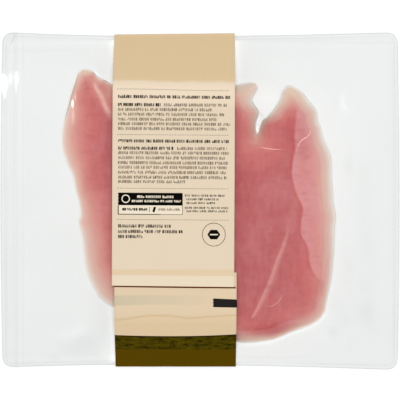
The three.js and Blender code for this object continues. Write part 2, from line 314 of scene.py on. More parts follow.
outline = smooth_closed_curve(FILLET_OUTLINE, 6)
flat, triangles, on_rim = lattice(outline, MEAT_STEP)
x, y = flat.T
edge_distance = np.where(on_rim, 0, gap_to(outline, x, y, closed=True))
top = np.where(on_rim, MEAT_EDGE, meat_top(x, y, edge_distance))
tucked = 1 - np.sqrt(1 - (1 - np.clip(edge_distance / 3, 0, 1)) ** 2)
bottom = MEAT_FLOOR + (MEAT_EDGE - 0.1 - MEAT_FLOOR) * tucked

meat = material("raw_turkey", Roughness=0.42, Subsurface_Scale=0.003)
meat.node_tree.nodes["Principled BSDF"].inputs["Subsurface Radius"].default_value = (1.0, 0.35, 0.25)
fillet = closed_sheet("turkey_fillet", flat, triangles, top, bottom, meat)


def vertex_values(piece, name, value_at):
    """Stores a value for each of the piece's points, worked out from where the points are."""
    mesh = piece.data
    place = np.empty(len(mesh.vertices) * 3, np.float32)
    mesh.vertices.foreach_get("co", place)
    place = place.reshape(-1, 3) * 1000
    values = mesh.attributes.new(name, "FLOAT", "POINT")
    values.data.foreach_set("value", np.asarray(value_at(*place.T), np.float32))


FULL_COLOUR = 28  # how far in from its edge the meat has its full colour
PALE_PLACES = [  # middle, reach, and how much slower or faster the colour deepens there
    (-70, 64, 9, 11, -0.5), (-54, 67, 9, 6, -0.6), (-61, 73, 4, 4, -0.6), (-60, 41, 6, 9, 0.2),
    (50.5, 65, 6, 5, 0.7), (-68, 2, 9, 18, -0.25), (-70, 36, 9, 12, 0.15), (-58, -52, 22, 24, 0.75),
    (-60, -22, 12, 14, 0.35), (37, 42, 14, 11, -0.75), (26, 63, 7, 8, 1.2), (53, 53, 6, 8, -0.2),
    (61, 58, 6.5, 8, 1.2), (66, -56, 16, 14, -0.28), (70.5, -47, 4, 7, -0.3), (60, 56, 5, 5, -0.35),
    (72, 15, 9, 35, 0.8), (42, -76, 26, 10, -0.68), (71, -64, 6, 6, -0.35),
]
YELLOW_PLACES = [  # thin places: middle, reach and how yellow
    (52, 62, 9, 8, 0.85), (26, 65, 8, 6, 0.65), (-66, 74.6, 5, 3.6, 0.75), (34, -79, 32, 5, 0.65),
    (70, -64, 6, 8, 0.5), (36, 43, 8, 9, 0.2),
]


def spots(x, y, places):
    """The sum of soft spots, each given by its middle, its reach and its strength."""
    return sum(much * bell(x - a, w) * bell(y - b, h) for a, b, w, h, much in places)


def inward(x, y, z):
    """How deep the meat's colour is: 0 on its pale edge, 1 far enough in from it."""
    slower = 1 + 0.12 * waves(x, y, 24, 21) + spots(x, y, PALE_PLACES)
    return np.clip(gap_to(outline, x, y, closed=True) / (FULL_COLOUR * slower), 0, 1)


def on_overlap(x, y, z):
    inner = smoothstep(-0.5, 0.5, beside_overlap(x, y))
    return inner * smoothstep(-49, -45, y) * smoothstep(60, 50, y) * (z > 2)


def on_sinew(x, y, z):
    distance, nearest, along = nearest_on(SINEW_LINE, np.column_stack([x, y]))
    swell = np.sin(math.pi * np.clip(along * 1.02, 0, 1)) ** 0.8
    width = np.where(x > nearest[:, 0], 0.5 + 1.5 * swell, 0.45 + 0.35 * swell)  # sharper on its left
    strong = bell(distance, width) * smoothstep(0, 0.2, along) * smoothstep(1, 0.93, along)
    return np.clip(strong + 0.2 * bell(gap_to(FAINT_SINEW, x, y), 2.4), 0, 1)


def on_fold(x, y, z):
    distance, _, along = nearest_on(FOLD_LINE, np.column_stack([x, y]))
    return bell(distance, 1.0 + 0.8 * along) * smoothstep(0, 0.12, along) * smoothstep(1.02, 0.7, along)


def redder_places_and_overlap_shadow(x, y, z):
    """Redder places above the bottom edge, beside the notch and near the overlapping muscle's edge, and a
    line of painted shadow just left of that edge.
    """
    total = bell(x - 38, 11) * bell(y + 73 - 0.14 * (x - 38), 3.4)
    total += spots(x, y, [(50, 41, 4, 11, 0.35), (56, -38, 7, 12, 0.35)])
    # painted shadow that the overlapping muscle's raised edge casts to its left
    beside = bell(beside_overlap(x, y) + 1.0, 0.9) * smoothstep(-48, -40, y) * smoothstep(46, 34, y)
    return np.clip(total + 0.4 * beside, 0, 1)


def band_shadow_on_meat(x, y, z):
    """Painted shadow that the card band casts on the meat beside it."""
    right = np.exp(-np.abs((x - 19.6) / 4.2) ** 1.5) * smoothstep(60, 48, y) * (x > 15)
    left = np.exp(-np.abs((x + 49.6) / 2.6) ** 1.5) * (x < -40) * smoothstep(66, 42, y)
    left *= 1 - 0.8 * smoothstep(-8, -26, y)
    return np.clip(right + 0.5 * left, 0, 1)


def yellow_places(x, y, z):
    """The thin tips are yellower, but not their very edge, which is almost clear."""
    yellow = np.clip(spots(x, y, YELLOW_PLACES), 0, 1)
    return yellow * smoothstep(0, 2.4, gap_to(outline, x, y, closed=True))


def overlap_edge_highlight(x, y, z):
    """A painted highlight along the inside of the overlapping muscle's edge."""
    side = beside_overlap(x, y)
    ends = smoothstep(-48, -36, y) * smoothstep(44, 30, y)
    return smoothstep(-0.4, 0.8, side) * bell(side, 3.4) * ends


for name, value_at in (
    ("inward", inward),
    ("yellow", yellow_places),
    ("overlap_edge_highlight", overlap_edge_highlight),
    ("band_shadow", band_shadow_on_meat),
    ("overlap", on_overlap),
    ("sinew", on_sinew),
    ("fold", on_fold),
    ("redder_and_shadowed", redder_places_and_overlap_shadow),
):
    vertex_values(fillet, name, value_at)


def new_node(finish, kind, inputs=(), **settings):
    """Adds a node with these settings, and sets or links each named or numbered input."""
    node = finish.node_tree.nodes.new(kind)
    for key, value in settings.items():
        setattr(node, key, value)
    for socket, value in dict(inputs).items():
        if isinstance(value, bpy.types.NodeSocket):
            finish.node_tree.links.new(value, node.inputs[socket])
        else:
            node.inputs[socket].default_value = value
    return node


def attribute(finish, name):
    return new_node(finish, "ShaderNodeAttribute", attribute_name=name).outputs["Fac"]


def mixed(finish, share, first, second, blend="MIX"):
    node = new_node(finish, "ShaderNodeMix", data_type="RGBA", blend_type=blend)
    for socket, value in ((node.inputs[0], share), (node.inputs[6], first), (node.inputs[7], second)):
        if isinstance(value, bpy.types.NodeSocket):
            finish.node_tree.links.new(value, socket)
        else:
            socket.default_value = value
    return node.outputs[2]


def math_node(finish, operation, *values):
    return new_node(finish, "ShaderNodeMath", dict(enumerate(values)), operation=operation).outputs[0]


def noise(finish, scale, detail=3, place=None, roughness=0.5):
    place = place or new_node(finish, "ShaderNodeTexCoord").outputs["Object"]
    settings = {"Vector": place, "Scale": scale, "Detail": detail, "Roughness": roughness}
    return new_node(finish, "ShaderNodeTexNoise", settings).outputs[0]


def colour_ramp(finish, share, stops):
    node = new_node(finish, "ShaderNodeValToRGB", {"Fac": share})
    ramp = node.color_ramp
    while len(ramp.elements) < len(stops):
        ramp.elements.new(0.5)
    for element, (position, colour) in zip(ramp.elements, stops):
        element.position, element.color = position, (*colour, 1)
    return node.outputs["Color"]


def times(finish, first, second):
    return math_node(finish, "MULTIPLY", first, second)


def remap(finish, value, low, high, top=1.0):
    """Goes evenly from 0 to top as the value goes from low to high."""
    settings = {"Value": value, "From Min": low, "From Max": high, "To Max": top}
    return new_node(finish, "ShaderNodeMapRange", settings).outputs[0]


def stretched(finish, scale, turn=0.0, place=None):
    """The place on the object, scaled and turned, so that a pattern on it runs one way."""
    place = place or new_node(finish, "ShaderNodeTexCoord").outputs["Object"]
    settings = {"Vector": place, "Rotation": (0, 0, turn), "Scale": scale}
    return new_node(finish, "ShaderNodeMapping", settings).outputs[0]


def tinted(finish, colour, share, tint):
    """The colour with this share of another one laid over it."""
    return mixed(finish, share, colour, (*tint, 1))


LIGHT = 1.2  # how bright the studio light makes a flat white surface


def srgb(red, green, blue, light=1.0):
    """The colour that a surface needs to look like these 0 to 255 screen values under this much light."""
    shares = (red / 255, green / 255, blue / 255)
    return tuple((c / 12.92 if c <= 0.04045 else ((c + 0.055) / 1.055) ** 2.4) / light for c in shares)


def under_film(red, green, blue):
    """The colour that the meat needs to look like these screen values through the film and its gloss."""
    return tuple(max(0.0, share - 0.022) / 0.93 for share in srgb(red, green, blue))


# The palest stops at the very edge are partly the thin meat's own colour and partly painted light: the white
# floor showing through the thin edge.
SHARED_STOPS = [
    (0.0, under_film(247, 242, 237)),
    (0.034, under_film(236, 216, 204)),
    (0.09, under_film(228, 190, 177)),
    (0.18, under_film(226, 170, 158)),
]
FILLET_STOPS = [
    (0.3, under_film(218, 148, 140)),
    (0.43, under_film(212, 128, 123)),
    (0.57, under_film(205, 116, 114)),
    (0.78, under_film(197, 108, 109)),
    (1.0, under_film(191, 103, 105)),
]
OVERLAP_STOPS = [
    (0.3, under_film(222, 154, 147)),
    (0.45, under_film(218, 146, 142)),
    (0.8, under_film(215, 140, 139)),
]
cloudy = noise(meat, 48, 4)
mottle = noise(meat, 260, 4, stretched(meat, (1, 0.4, 1)))
grain = noise(meat, 420, 4, stretched(meat, (1, 0.3, 1), -0.4), 0.6)
wrinkles = noise(meat, 260, 3, stretched(meat, (0.55, 1.3, 1)), 0.6)
streaks = stretched(meat, (1, 0.45, 1), 0.5)
unevenness = math_node(meat, "SUBTRACT", cloudy, 0.5)
depth = math_node(meat, "MULTIPLY_ADD", unevenness, 0.05, attribute(meat, "inward"))
deep, past_edge = remap(meat, depth, 0.1, 0.5), remap(meat, depth, 0.06, 0.26)
fillet_colour = colour_ramp(meat, depth, SHARED_STOPS + FILLET_STOPS)
overlap_colour = colour_ramp(meat, depth, SHARED_STOPS + OVERLAP_STOPS)
lilac = times(meat, remap(meat, noise(meat, 75, 3, streaks), 0.42, 0.62, 0.8), past_edge)
overlap_colour = tinted(meat, overlap_colour, lilac, under_film(219, 153, 153))
redder = times(meat, remap(meat, noise(meat, 60, 3, streaks), 0.5, 0.36, 0.5), attribute(meat, "inward"))
overlap_colour = tinted(meat, overlap_colour, redder, under_film(219, 132, 128))
colour = mixed(meat, attribute(meat, "overlap"), fillet_colour, overlap_colour)
near_edge = math_node(meat, "SUBTRACT", 1.0, deep)
# painted highlight along the overlapping muscle's edge
border = times(meat, attribute(meat, "overlap_edge_highlight"), 0.35)
meat_tints = [  # how much of each, and what it looks like under the film; the later ones lie over the others
    (times(meat, remap(meat, cloudy, 0.5, 0.75, 0.45), deep), (214, 138, 142)),
    (times(meat, remap(meat, cloudy, 0.5, 0.28, 0.35), deep), (180, 82, 88)),
    (times(meat, remap(meat, mottle, 0.52, 0.8, 0.3), deep), (212, 136, 136)),
    (times(meat, attribute(meat, "yellow"), near_edge), (233, 205, 183)),
    (times(meat, border, past_edge), (222, 166, 168)),
    # redder meat, and painted shadow beside the overlapping muscle's edge
    (times(meat, attribute(meat, "redder_and_shadowed"), 0.75), (190, 72, 74)),
    # painted shadow of the card band on the meat
    (times(meat, attribute(meat, "band_shadow"), 0.55), (158, 70, 76)),
    (times(meat, attribute(meat, "sinew"), 0.52), (232, 178, 172)),
    (times(meat, attribute(meat, "fold"), 0.85), (237, 192, 182)),
    (times(meat, remap(meat, grain, 0.4, 0.65, 0.2), deep), (216, 142, 142)),
    (times(meat, remap(meat, wrinkles, 0.5, 0.3, 0.3), deep), (178, 88, 92)),
]
for share, seen in meat_tints:
    colour = tinted(meat, colour, share, under_film(*seen))
meat_shader = meat.node_tree.nodes["Principled BSDF"]
meat.node_tree.links.new(colour, meat_shader.inputs["Base Color"])
thick = remap(meat, depth, 0.15, 0.6, 0.2)
meat.node_tree.links.new(thick, meat_shader.inputs["Subsurface Weight"])
# Light spreads in the meat and evens its shading, so its normals are turned toward the vertical.
normal = new_node(meat, "ShaderNodeNewGeometry").outputs["Normal"]
upright = math_node(meat, "SIGN", new_node(meat, "ShaderNodeSeparateXYZ", {"Vector": normal}).outputs[2])
upright = new_node(meat, "ShaderNodeCombineXYZ", {"Z": times(meat, upright, 1.8)}).outputs[0]
even = new_node(meat, "ShaderNodeVectorMath", {0: normal, 1: upright}, operation="ADD").outputs[0]
even = new_node(meat, "ShaderNodeVectorMath", {0: even}, operation="NORMALIZE").outputs[0]
bump = {"Height": grain, "Distance": 0.0003, "Strength": 0.3, "Normal": even}
bump = new_node(meat, "ShaderNodeBump", bump).outputs[0]
meat.node_tree.links.new(bump, meat_shader.inputs["Normal"])

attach(fillet, "root")
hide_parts("film_pack")

# --- Clear pouch -----------------------------------------------------------------------------------------
# Two sheets of clear plastic film. The vacuum has drawn the upper one down over the meat, and it is sealed to
# the flat lower one right up to the meat, so that the two are one piece with a hollow that the meat fills.

PACK_LENGTH, PACK_WIDTH = 230, 194.4
CORNER_RADIUS = 7
SIDE_BOW, BAND_PINCH, SKEW_CUT = 1, 2.1, 1.4
FILM = 0.12
SEALED = 0.3  # thickness of the two films where they are sealed
CLEARANCE = 0.14  # from the meat to the film
HOLLOW_MARGIN = 0.03  # from the meat's edge to the end of the hollow
FILM_MESH_STEP = 0.97  # between the points of the film's mesh
BAND_MIDDLE, BAND_WIDTH = -14.7, 69.2


def pack_edge(steps=40):
    """The films' cut edge: round corners, bowed short sides, and long sides that the band draws in."""
    half_length, half_width, radius = PACK_LENGTH / 2 - SIDE_BOW, PACK_WIDTH / 2, CORNER_RADIUS
    lower_left = SKEW_CUT - half_width
    stops = [
        ((radius - half_length, half_width), (2 * BAND_MIDDLE, half_width - 2 * BAND_PINCH)),
        ((half_length - radius, half_width), (half_length, half_width)),
        ((half_length, half_width - radius), (half_length + 2 * SIDE_BOW, 0)),
        ((half_length, radius - half_width), (half_length, -half_width)),
        ((half_length - radius, -half_width), (2 * BAND_MIDDLE, SKEW_CUT / 2 + 2 * BAND_PINCH - half_width)),
        ((radius - half_length, lower_left), (-half_length, lower_left)),
        ((-half_length, lower_left + radius), (-half_length - 2 * SIDE_BOW, 0)),
        ((-half_length, half_width - radius), (-half_length, half_width)),
    ]
    t = (np.arange(steps) / steps)[:, None]
    parts = []
    for i, (start, control) in enumerate(stops):
        end = stops[(i + 1) % len(stops)][0]
        start, control, end = (np.array(p) for p in (start, control, end))
        parts.append((1 - t) ** 2 * start + 2 * t * (1 - t) * control + t**2 * end)
    return np.vstack(parts)[::-1]


FILM_FOLDS = [  # soft folds in the sealed film: line, height and width
    ([(-90, -80), (-82, -74), (-70, -71), (-60, -72)], 0.5, 2.6),
    ([(-84, -86), (-72, -89), (-58, -87)], 0.5, 2.2),
    ([(-68, -78), (-60, -75), (-52, -70), (-46, -64)], 0.6, 2.4),
    ([(-66, -88), (-58, -80), (-52, -74)], -0.4, 3.0),
    ([(84, 24), (86, 14), (84, 4)], 0.4, 2.2),
    ([(92, 22), (95, 8), (93, -6), (95, -22)], 0.4, 2.6),
    ([(87, -20), (84, -36), (86, -50), (82, -62)], 0.4, 2.8),
    ([(98, 4), (96, -22), (99, -46), (96, -66)], 0.4, 3.0),
    ([(88, -52), (80, -66), (74, -76)], 0.4, 2.6),
    ([(80, 66), (83, 58), (85, 52)], 0.5, 1.6),
    ([(-110, 97), (-107, 90), (-106, 84)], 0.6, 1.3),
    ([(-109.4, 76), (-109, 70), (-109.4, 62)], 0.25, 1.2),
    ([(-106, 76), (-105.6, 70), (-106, 60)], 0.3, 1.2),
    ([(30, 78), (38, 80), (46, 78.5)], 0.4, 1.6),
    ([(-34, 74), (-52, 76), (-66, 82)], 0.3, 2.2),
]


SEAM_RIPPLES = [(2.2, 0.07, 0.5), (4.4, 0.09, 0.7), (7, 0.05, 0.7)]  # from the edge, height and width
RIB_SPACING = 3.7  # of the ribs pressed into the left seam
FILM_STEP = 0.6  # of the grid on which the film is drawn down


def meat_top_near(x, y):
    """Height of what holds the film up: the fillet's upper surface, or nothing beside it."""
    points = np.column_stack([x, y])
    distance = gap_to(outline, x, y, closed=True)
    over = inside(outline, points)
    height = np.full(len(points), -1.0)
    height[over] = meat_top(*points[over].T, distance[over])
    return height, np.where(over, 0, distance)


def relaxed_film(step=FILM_STEP, rounds=240, pull=0.06):
    """The upper film's height on an even grid. The meat holds it up, the vacuum pulls it down, and its own
    tension keeps it from following narrow gaps."""
    grid_x, grid_y = np.arange(-118, 118.5, step), np.arange(-100, 100.5, step)
    x, y = (a.ravel() for a in np.meshgrid(grid_x, grid_y))
    support = np.maximum(meat_top_near(x, y)[0] + CLEARANCE + FILM, SEALED).reshape(len(grid_y), -1)
    height = support.copy()
    for _ in range(rounds):
        around = height.copy()
        around[1:-1, 1:-1] = (height[:-2, 1:-1] + height[2:, 1:-1] + height[1:-1, :-2] + height[1:-1, 2:]) / 4
        height = np.maximum(support, around - pull)
    return grid_x, grid_y, height


film_grid = relaxed_film()
pack_outline = pack_edge()


def dense(line, step=0.8):
    """The line with a smooth course through its points and a point at least at every step."""
    line = np.asarray(line, float)
    length = np.concatenate([[0], np.cumsum(np.linalg.norm(np.diff(line, axis=0), axis=1))])
    at = np.linspace(0, length[-1], max(5, int(length[-1] / step)))
    course = np.column_stack([np.interp(at, length, line[:, i]) for i in (0, 1)])
    for _ in range(3):
        course[1:-1] = (course[:-2] + 2 * course[1:-1] + course[2:]) / 4
    return course


def near_line(line, points, reach):
    """Which points are near the line, and for those their distance from it and how far along it they are."""
    low, high = np.min(line, 0) - reach, np.max(line, 0) + reach
    near = np.flatnonzero(((points > low) & (points < high)).all(1))
    away, _, along = nearest_on(line, points[near])
    return near, away, np.clip(along, 0, 1)


def film_height(x, y):
    """Height of the upper film's outer surface."""
    x, y = np.asarray(x, float), np.asarray(y, float)
    grid_x, grid_y, height = film_grid
    fx = np.clip((x - grid_x[0]) / FILM_STEP, 0, len(grid_x) - 1.001)
    fy = np.clip((y - grid_y[0]) / FILM_STEP, 0, len(grid_y) - 1.001)
    ix, iy = fx.astype(int), fy.astype(int)
    fx, fy = fx - ix, fy - iy
    near_row = height[iy, ix] * (1 - fx) + height[iy, ix + 1] * fx
    far_row = height[iy + 1, ix] * (1 - fx) + height[iy + 1, ix + 1] * fx
    draped = near_row * (1 - fy) + far_row * fy
    points = np.column_stack([x, y])
    beside = meat_top_near(x, y)[1]
    rim = np.where(inside(pack_outline, points), gap_to(pack_outline, x, y, closed=True), 0)
    free = smoothstep(3, 9, beside) * smoothstep(0, 5, rim)
    swells = 0.1 + 0.07 * waves(x, y, 36, 8) + 0.03 * waves(x, y, 9, 9)
    seams = sum(rise * bell(rim - at, width) for at, rise, width in SEAM_RIPPLES)
    ribs = (1 + np.sin((x + PACK_LENGTH / 2) * 2 * math.pi / RIB_SPACING)) * smoothstep(-94, -99, x)
    ribs *= 0.05 * smoothstep(1, 5, rim)
    folds = np.zeros(len(x))
    for line, rise, width in FILM_FOLDS:
        near, away, along = near_line(line, points, 3 * width)
        folds[near] += rise * bell(away, width) * np.sin(math.pi * along) ** 0.7
    return np.maximum(draped + seams + ribs + (swells + folds) * free, SEALED)


def rim_loop(triangles):
    """The points round the edge of the triangles, in order."""
    edges = {(int(t[i]), int(t[(i + 1) % 3])) for t in triangles for i in range(3)}
    onward = {a: b for a, b in edges if (b, a) not in edges}
    start = min(onward)
    loop = [start]
    while onward[loop[-1]] != start:
        loop.append(onward[loop[-1]])
    return loop


def solid_under(points, triangles, top, floor_height):
    """Points and faces of the solid between the lattice at its heights and a flat floor."""
    loop = rim_loop(triangles)
    count, size = len(points), len(loop)
    low = np.column_stack([points[loop], np.full(size, floor_height)])
    faces = [tuple(t) for t in triangles.tolist()]
    for i in range(size):
        j = (i + 1) % size
        faces.append((loop[i], count + i, count + j, loop[j]))
    faces.append(tuple(count + i for i in reversed(range(size))))
    return np.vstack([np.column_stack([points, top]), low]), faces


def joined(parts):
    """Points and faces of several shapes together."""
    points, faces = [], []
    for some_points, some_faces in parts:
        first = sum(len(p) for p in points)
        points.append(np.asarray(some_points, float))
        faces += [tuple(first + i for i in face) for face in some_faces]
    return np.vstack(points), faces


flat, triangles, _ = lattice(pack_outline, FILM_MESH_STEP)
shell = solid_under(flat, triangles, film_height(*flat.T), 0)
flat, triangles, _ = lattice(outline, MEAT_STEP, grow=HOLLOW_MARGIN)
ceiling = np.maximum(film_height(*flat.T) - FILM, FILM + 0.03)
hollow_points, hollow_faces = solid_under(flat, triangles, ceiling, FILM)
hollow = hollow_points, [face[::-1] for face in hollow_faces]


def between(finish, value, low, high, soft):
    """1 where the value is between low and high, 0 elsewhere, with borders this soft."""
    shares = []
    for at, start, end in ((low, 0.0, 1.0), (high, 1.0, 0.0)):
        slope = {"Value": value, "From Min": at - soft, "From Max": at + soft, "To Min": start, "To Max": end}
        slope = new_node(finish, "ShaderNodeMapRange", slope, interpolation_type="SMOOTHSTEP")
        shares.append(slope.outputs[0])
    return times(finish, *shares)


SEAL_LINES = [  # from the edge, half width, how dark
    (0.1, 0.35, 1.3), (2.2, 0.3, 0.35), (3.5, 0.3, 0.14), (5.2, 0.4, 0.08),
]
UPRIGHT_STREAKS = [(-111.8, 0.5, 0.06), (-106.4, 1.5, 0.05), (-102.2, 0.5, 0.04), (111.7, 0.5, 0.06)]
PAINTED_GLINTS = [  # painted highlights where a fold or a stretched place shines white: middle, reach and strength
    (-113.8, 68, 3.4, 6.6, 1.2), (-112.6, 61.5, 1.5, 4, 0.2), (-109.2, 70.8, 1.0, 4.4, 0.3),
    (-105.8, 71, 1.1, 4.8, 0.8), (-106, 65.4, 0.9, 5, 0.16), (33.4, 44.6, 1.8, 5.4, 0.06),
    (33, 41, 1, 3, 0.3), (-73.3, 56, 0.9, 3.3, 0.65), (-71.8, 59.6, 0.7, 3.2, 0.13),
    (-73, 49, 1.8, 8, 0.06), (82, 58, 2.2, 8, 0.05), (84, 53, 1.6, 4, 0.04),
    (39.6, 60, 7, 8, 0.025),
]
clear = material("clear_film")
tree = clear.node_tree
tree.nodes.remove(tree.nodes["Principled BSDF"])
rim, tint_and_shade = attribute(clear, "rim"), attribute(clear, "tint_and_shade")
film_place = new_node(clear, "ShaderNodeTexCoord").outputs["Object"]
film_axes = new_node(clear, "ShaderNodeSeparateXYZ", {"Vector": film_place}).outputs
film_x, film_y, film_z = (times(clear, axis, 1000.0) for axis in film_axes)
marks = [(rim, at, half, much) for at, half, much in SEAL_LINES]
marks += [(film_x, at, half, much) for at, half, much in UPRIGHT_STREAKS]
for value, at, half, much in marks:
    mark = between(clear, value, at - half, at + half, 0.25)
    tint_and_shade = math_node(clear, "MULTIPLY_ADD", mark, much, tint_and_shade)
streak_kinds = [  # streaks along the left seam and along the top and bottom ones
    (between(clear, film_x, -130, -99, 3), (1, 0.02, 1), 420),
    (between(clear, film_y, 84, 120, 5), (0.03, 1, 1), 260),
    (between(clear, film_y, -120, -87, 4), (0.03, 1, 1), 300),
]
for place_share, stretch, scale in streak_kinds:
    streaky = noise(clear, scale, 2, stretched(clear, stretch, place=film_place))
    streaky = math_node(clear, "SUBTRACT", streaky, 0.5)
    tint_and_shade = math_node(clear, "MULTIPLY_ADD", times(clear, streaky, place_share), 0.3, tint_and_shade)
# painted shade lines along the creases and the meat's edges
crease_shade = between(clear, attribute(clear, "grey_side"), -0.28, 0.28, 0.16)
tint_and_shade = math_node(clear, "MULTIPLY_ADD", crease_shade, attribute(clear, "grey_strength"), tint_and_shade)
tint = mixed(clear, tint_and_shade, (0.983, 0.987, 0.985, 1), (0.856, 0.864, 0.86, 1))
through = new_node(clear, "ShaderNodeBsdfTransparent", {"Color": tint})
mirror = new_node(clear, "ShaderNodeBsdfGlossy", {"Color": (1, 1, 1, 1), "Roughness": 0.2})
fresnel = new_node(clear, "ShaderNodeFresnel", {"IOR": 1.5})
outer_side = math_node(clear, "SUBTRACT", 1.0, new_node(clear, "ShaderNodeNewGeometry").outputs["Backfacing"])
mirrored = math_node(clear, "MINIMUM", times(clear, fresnel.outputs[0], 1.2), 0.07)
mirrored = times(clear, mirrored, outer_side)
ripple = {"Height": noise(clear, 150, 3), "Distance": 0.0002, "Strength": 0.2}
ripple = new_node(clear, "ShaderNodeBump", ripple)
for node in (mirror, fresnel):
    tree.links.new(ripple.outputs[0], node.inputs["Normal"])
both = new_node(clear, "ShaderNodeMixShader", {0: mirrored, 1: through.outputs[0], 2: mirror.outputs[0]})
# painted highlights along the creases
crease_highlight = between(clear, attribute(clear, "white_side"), -0.18, 0.18, 0.16)
crease_highlight = times(clear, crease_highlight, attribute(clear, "white_strength"))
white = math_node(clear, "ADD", crease_highlight, attribute(clear, "painted_brightening"))
for at_x, at_y, reach_x, reach_y, much in PAINTED_GLINTS:
    offset = {
        0: times(clear, math_node(clear, "SUBTRACT", film_x, at_x), 1 / reach_x),
        1: times(clear, math_node(clear, "SUBTRACT", film_y, at_y), 1 / reach_y),
    }
    offset = new_node(clear, "ShaderNodeCombineXYZ", offset).outputs[0]
    away = new_node(clear, "ShaderNodeVectorMath", {0: offset}, operation="LENGTH").outputs["Value"]
    glint = {"Value": away, "From Min": 1.0, "From Max": 0.0, "To Max": much}
    glint = new_node(clear, "ShaderNodeMapRange", glint, interpolation_type="SMOOTHSTEP").outputs[0]
    white = math_node(clear, "ADD", white, glint)
upper_side = between(clear, film_z, 0.15, 99, 0.02)
white = math_node(clear, "MINIMUM", times(clear, white, upper_side), 1.0)
white = new_node(clear, "ShaderNodeCombineXYZ", {0: white, 1: white, 2: white}).outputs[0]
# painted light: the crease highlights, the brightening and the glints, added over the film as a white veil
painted_light_veil = new_node(clear, "ShaderNodeBsdfDiffuse", {"Color": white})
surface = new_node(clear, "ShaderNodeAddShader", {0: both.outputs[0], 1: painted_light_veil.outputs[0]})
tree.links.new(surface.outputs[0], tree.nodes["Material Output"].inputs["Surface"])

pouch = mesh_object("clear_pouch", *joined([shell, hollow]), clear)


def to_rim(x, y, z):
    return np.where(z > 0.05, gap_to(pack_outline, x, y, closed=True), 50)


CREASE_HIGHLIGHTS = [  # painted highlights along creases and edges: line and strength; they are in the film over the meat
    ([(34.6, 30.6), (38.6, 29.6), (42, 29.4), (46.1, 29.3)], 0.16),
    ([(55.4, 30), (56.4, 32.6), (57.2, 34.4), (59.6, 35.8), (61.8, 36.8), (62.8, 38.8), (63.4, 41)], 0.16),
    ([(37, -58.9), (39, -59.9), (41.4, -59.6), (44, -57.8), (46, -55.4), (47.8, -51.8)], 0.07),
    ([(56.9, -17.6), (58.6, -19.6), (59.1, -22.4)], 0.07),
    ([(-61.2, 68.2), (-59.8, 64.2), (-57.8, 61.6)], 0.08),
    ([(-57.4, 70.6), (-54.4, 70.2), (-52.2, 68.4), (-49.6, 67.4)], 0.3),
    ([(-61.2, 75.6), (-59.3, 73.2), (-57.8, 71.9)], 0.2),
    ([(-71.7, 72), (-72.3, 69.4), (-73.1, 67)], 0.12),
    ([(22, 67.2), (26.1, 67.9), (30.2, 68.4), (32.9, 67.3), (33.3, 64.8), (32, 62.2)], 0.07),
    ([(46.6, 60), (47.3, 62.6), (48.5, 64.9), (51, 66.6), (53.8, 66.1), (57.3, 64.1), (60.2, 61.4)], 0.07),
]
CREASE_SHADE_LINES = [  # painted shade lines along creases and the meat's edges, in the notch, along the left piece and at the pack's corner
    ([(29.6, 57.8), (32.1, 54.4), (34.5, 51.2), (37, 47.8)], 1.4),
    ([(33.6, 50), (32.2, 46), (31.8, 42.4), (32.6, 38.8)], 1.7),
    ([(37, 47.8), (35, 44), (33.8, 40.8), (33, 39)], 1.2),
    ([(45.8, 57), (42.2, 52.4), (39.4, 49)], 0.35),
    ([(-70.2, 72.6), (-71.6, 67.6), (-73.6, 61.6), (-75.4, 55.2), (-76.6, 51), (-77.8, 47)], 1.5),
    ([(-62.6, 75.2), (-60.6, 73), (-58.6, 71), (-55.6, 70.2), (-53.2, 68.5), (-50.2, 67)], 1.3),
    ([(-106.4, 96.6), (-107.4, 94), (-109, 90.8)], 2.2),
    ([(-109.4, 96.2), (-106, 96.9), (-101, 96.6)], 1.6),
]


def crease_values(creases, x, y, z):
    """How far to the side of the nearest crease each point is, and how strong the crease is there."""
    points = np.column_stack([x, y])
    side, strength = np.full(len(points), 9.0), np.zeros(len(points))
    for crease, much in creases:
        course = dense(crease)
        low, high = course.min(0) - 3, course.max(0) + 3
        near = np.flatnonzero(((points > low) & (points < high)).all(1) & (z > 0.13))
        away, nearest, along = nearest_on(course, points[near])
        ahead = np.gradient(course, axis=0)[(along * (len(course) - 1)).astype(int)]
        off = points[near] - nearest
        across = (ahead[:, 0] * off[:, 1] - ahead[:, 1] * off[:, 0]) / np.linalg.norm(ahead, axis=1)
        here = much * np.sin(math.pi * np.clip(along, 0.02, 0.98)) ** 0.5 * np.exp(-((away / 1.6) ** 4))
        stronger = here > strength[near]
        side[near[stronger]], strength[near[stronger]] = across[stronger], here[stronger]
    return side, strength


FOLD_SHADING_PATCHES = [  # painted shade of folds and slack in the film, or painted light where negative: middle, reach and how much
    (95.5, -33, 7, 48, 0.07), (85.6, 20.5, 2.6, 5.2, 0.16), (95.5, 17, 3.4, 7, 0.12),
    (86.5, -37, 2.6, 5, 0.14),
    (95, -50, 3, 3, 0.12), (93.5, -64, 4.4, 5, 0.14), (77, -76, 3, 3, 0.2), (84, -68, 3, 4.4, 0.14),
    (79.5, -60, 5, 5, 0.1), (88, -83, 4, 5, 0.1), (98, -69, 3.4, 9, 0.1),
    (-70.5, -84.2, 11.5, 5, 0.22), (-65, -79.5, 6.5, 3.6, 0.12), (-79.5, -76.5, 9, 3.2, -0.16),
    (-70, -72.5, 5, 3.6, -0.14), (-84, -90.5, 4, 2, 0.14), (-90, -77, 10, 4, 0.06),
]


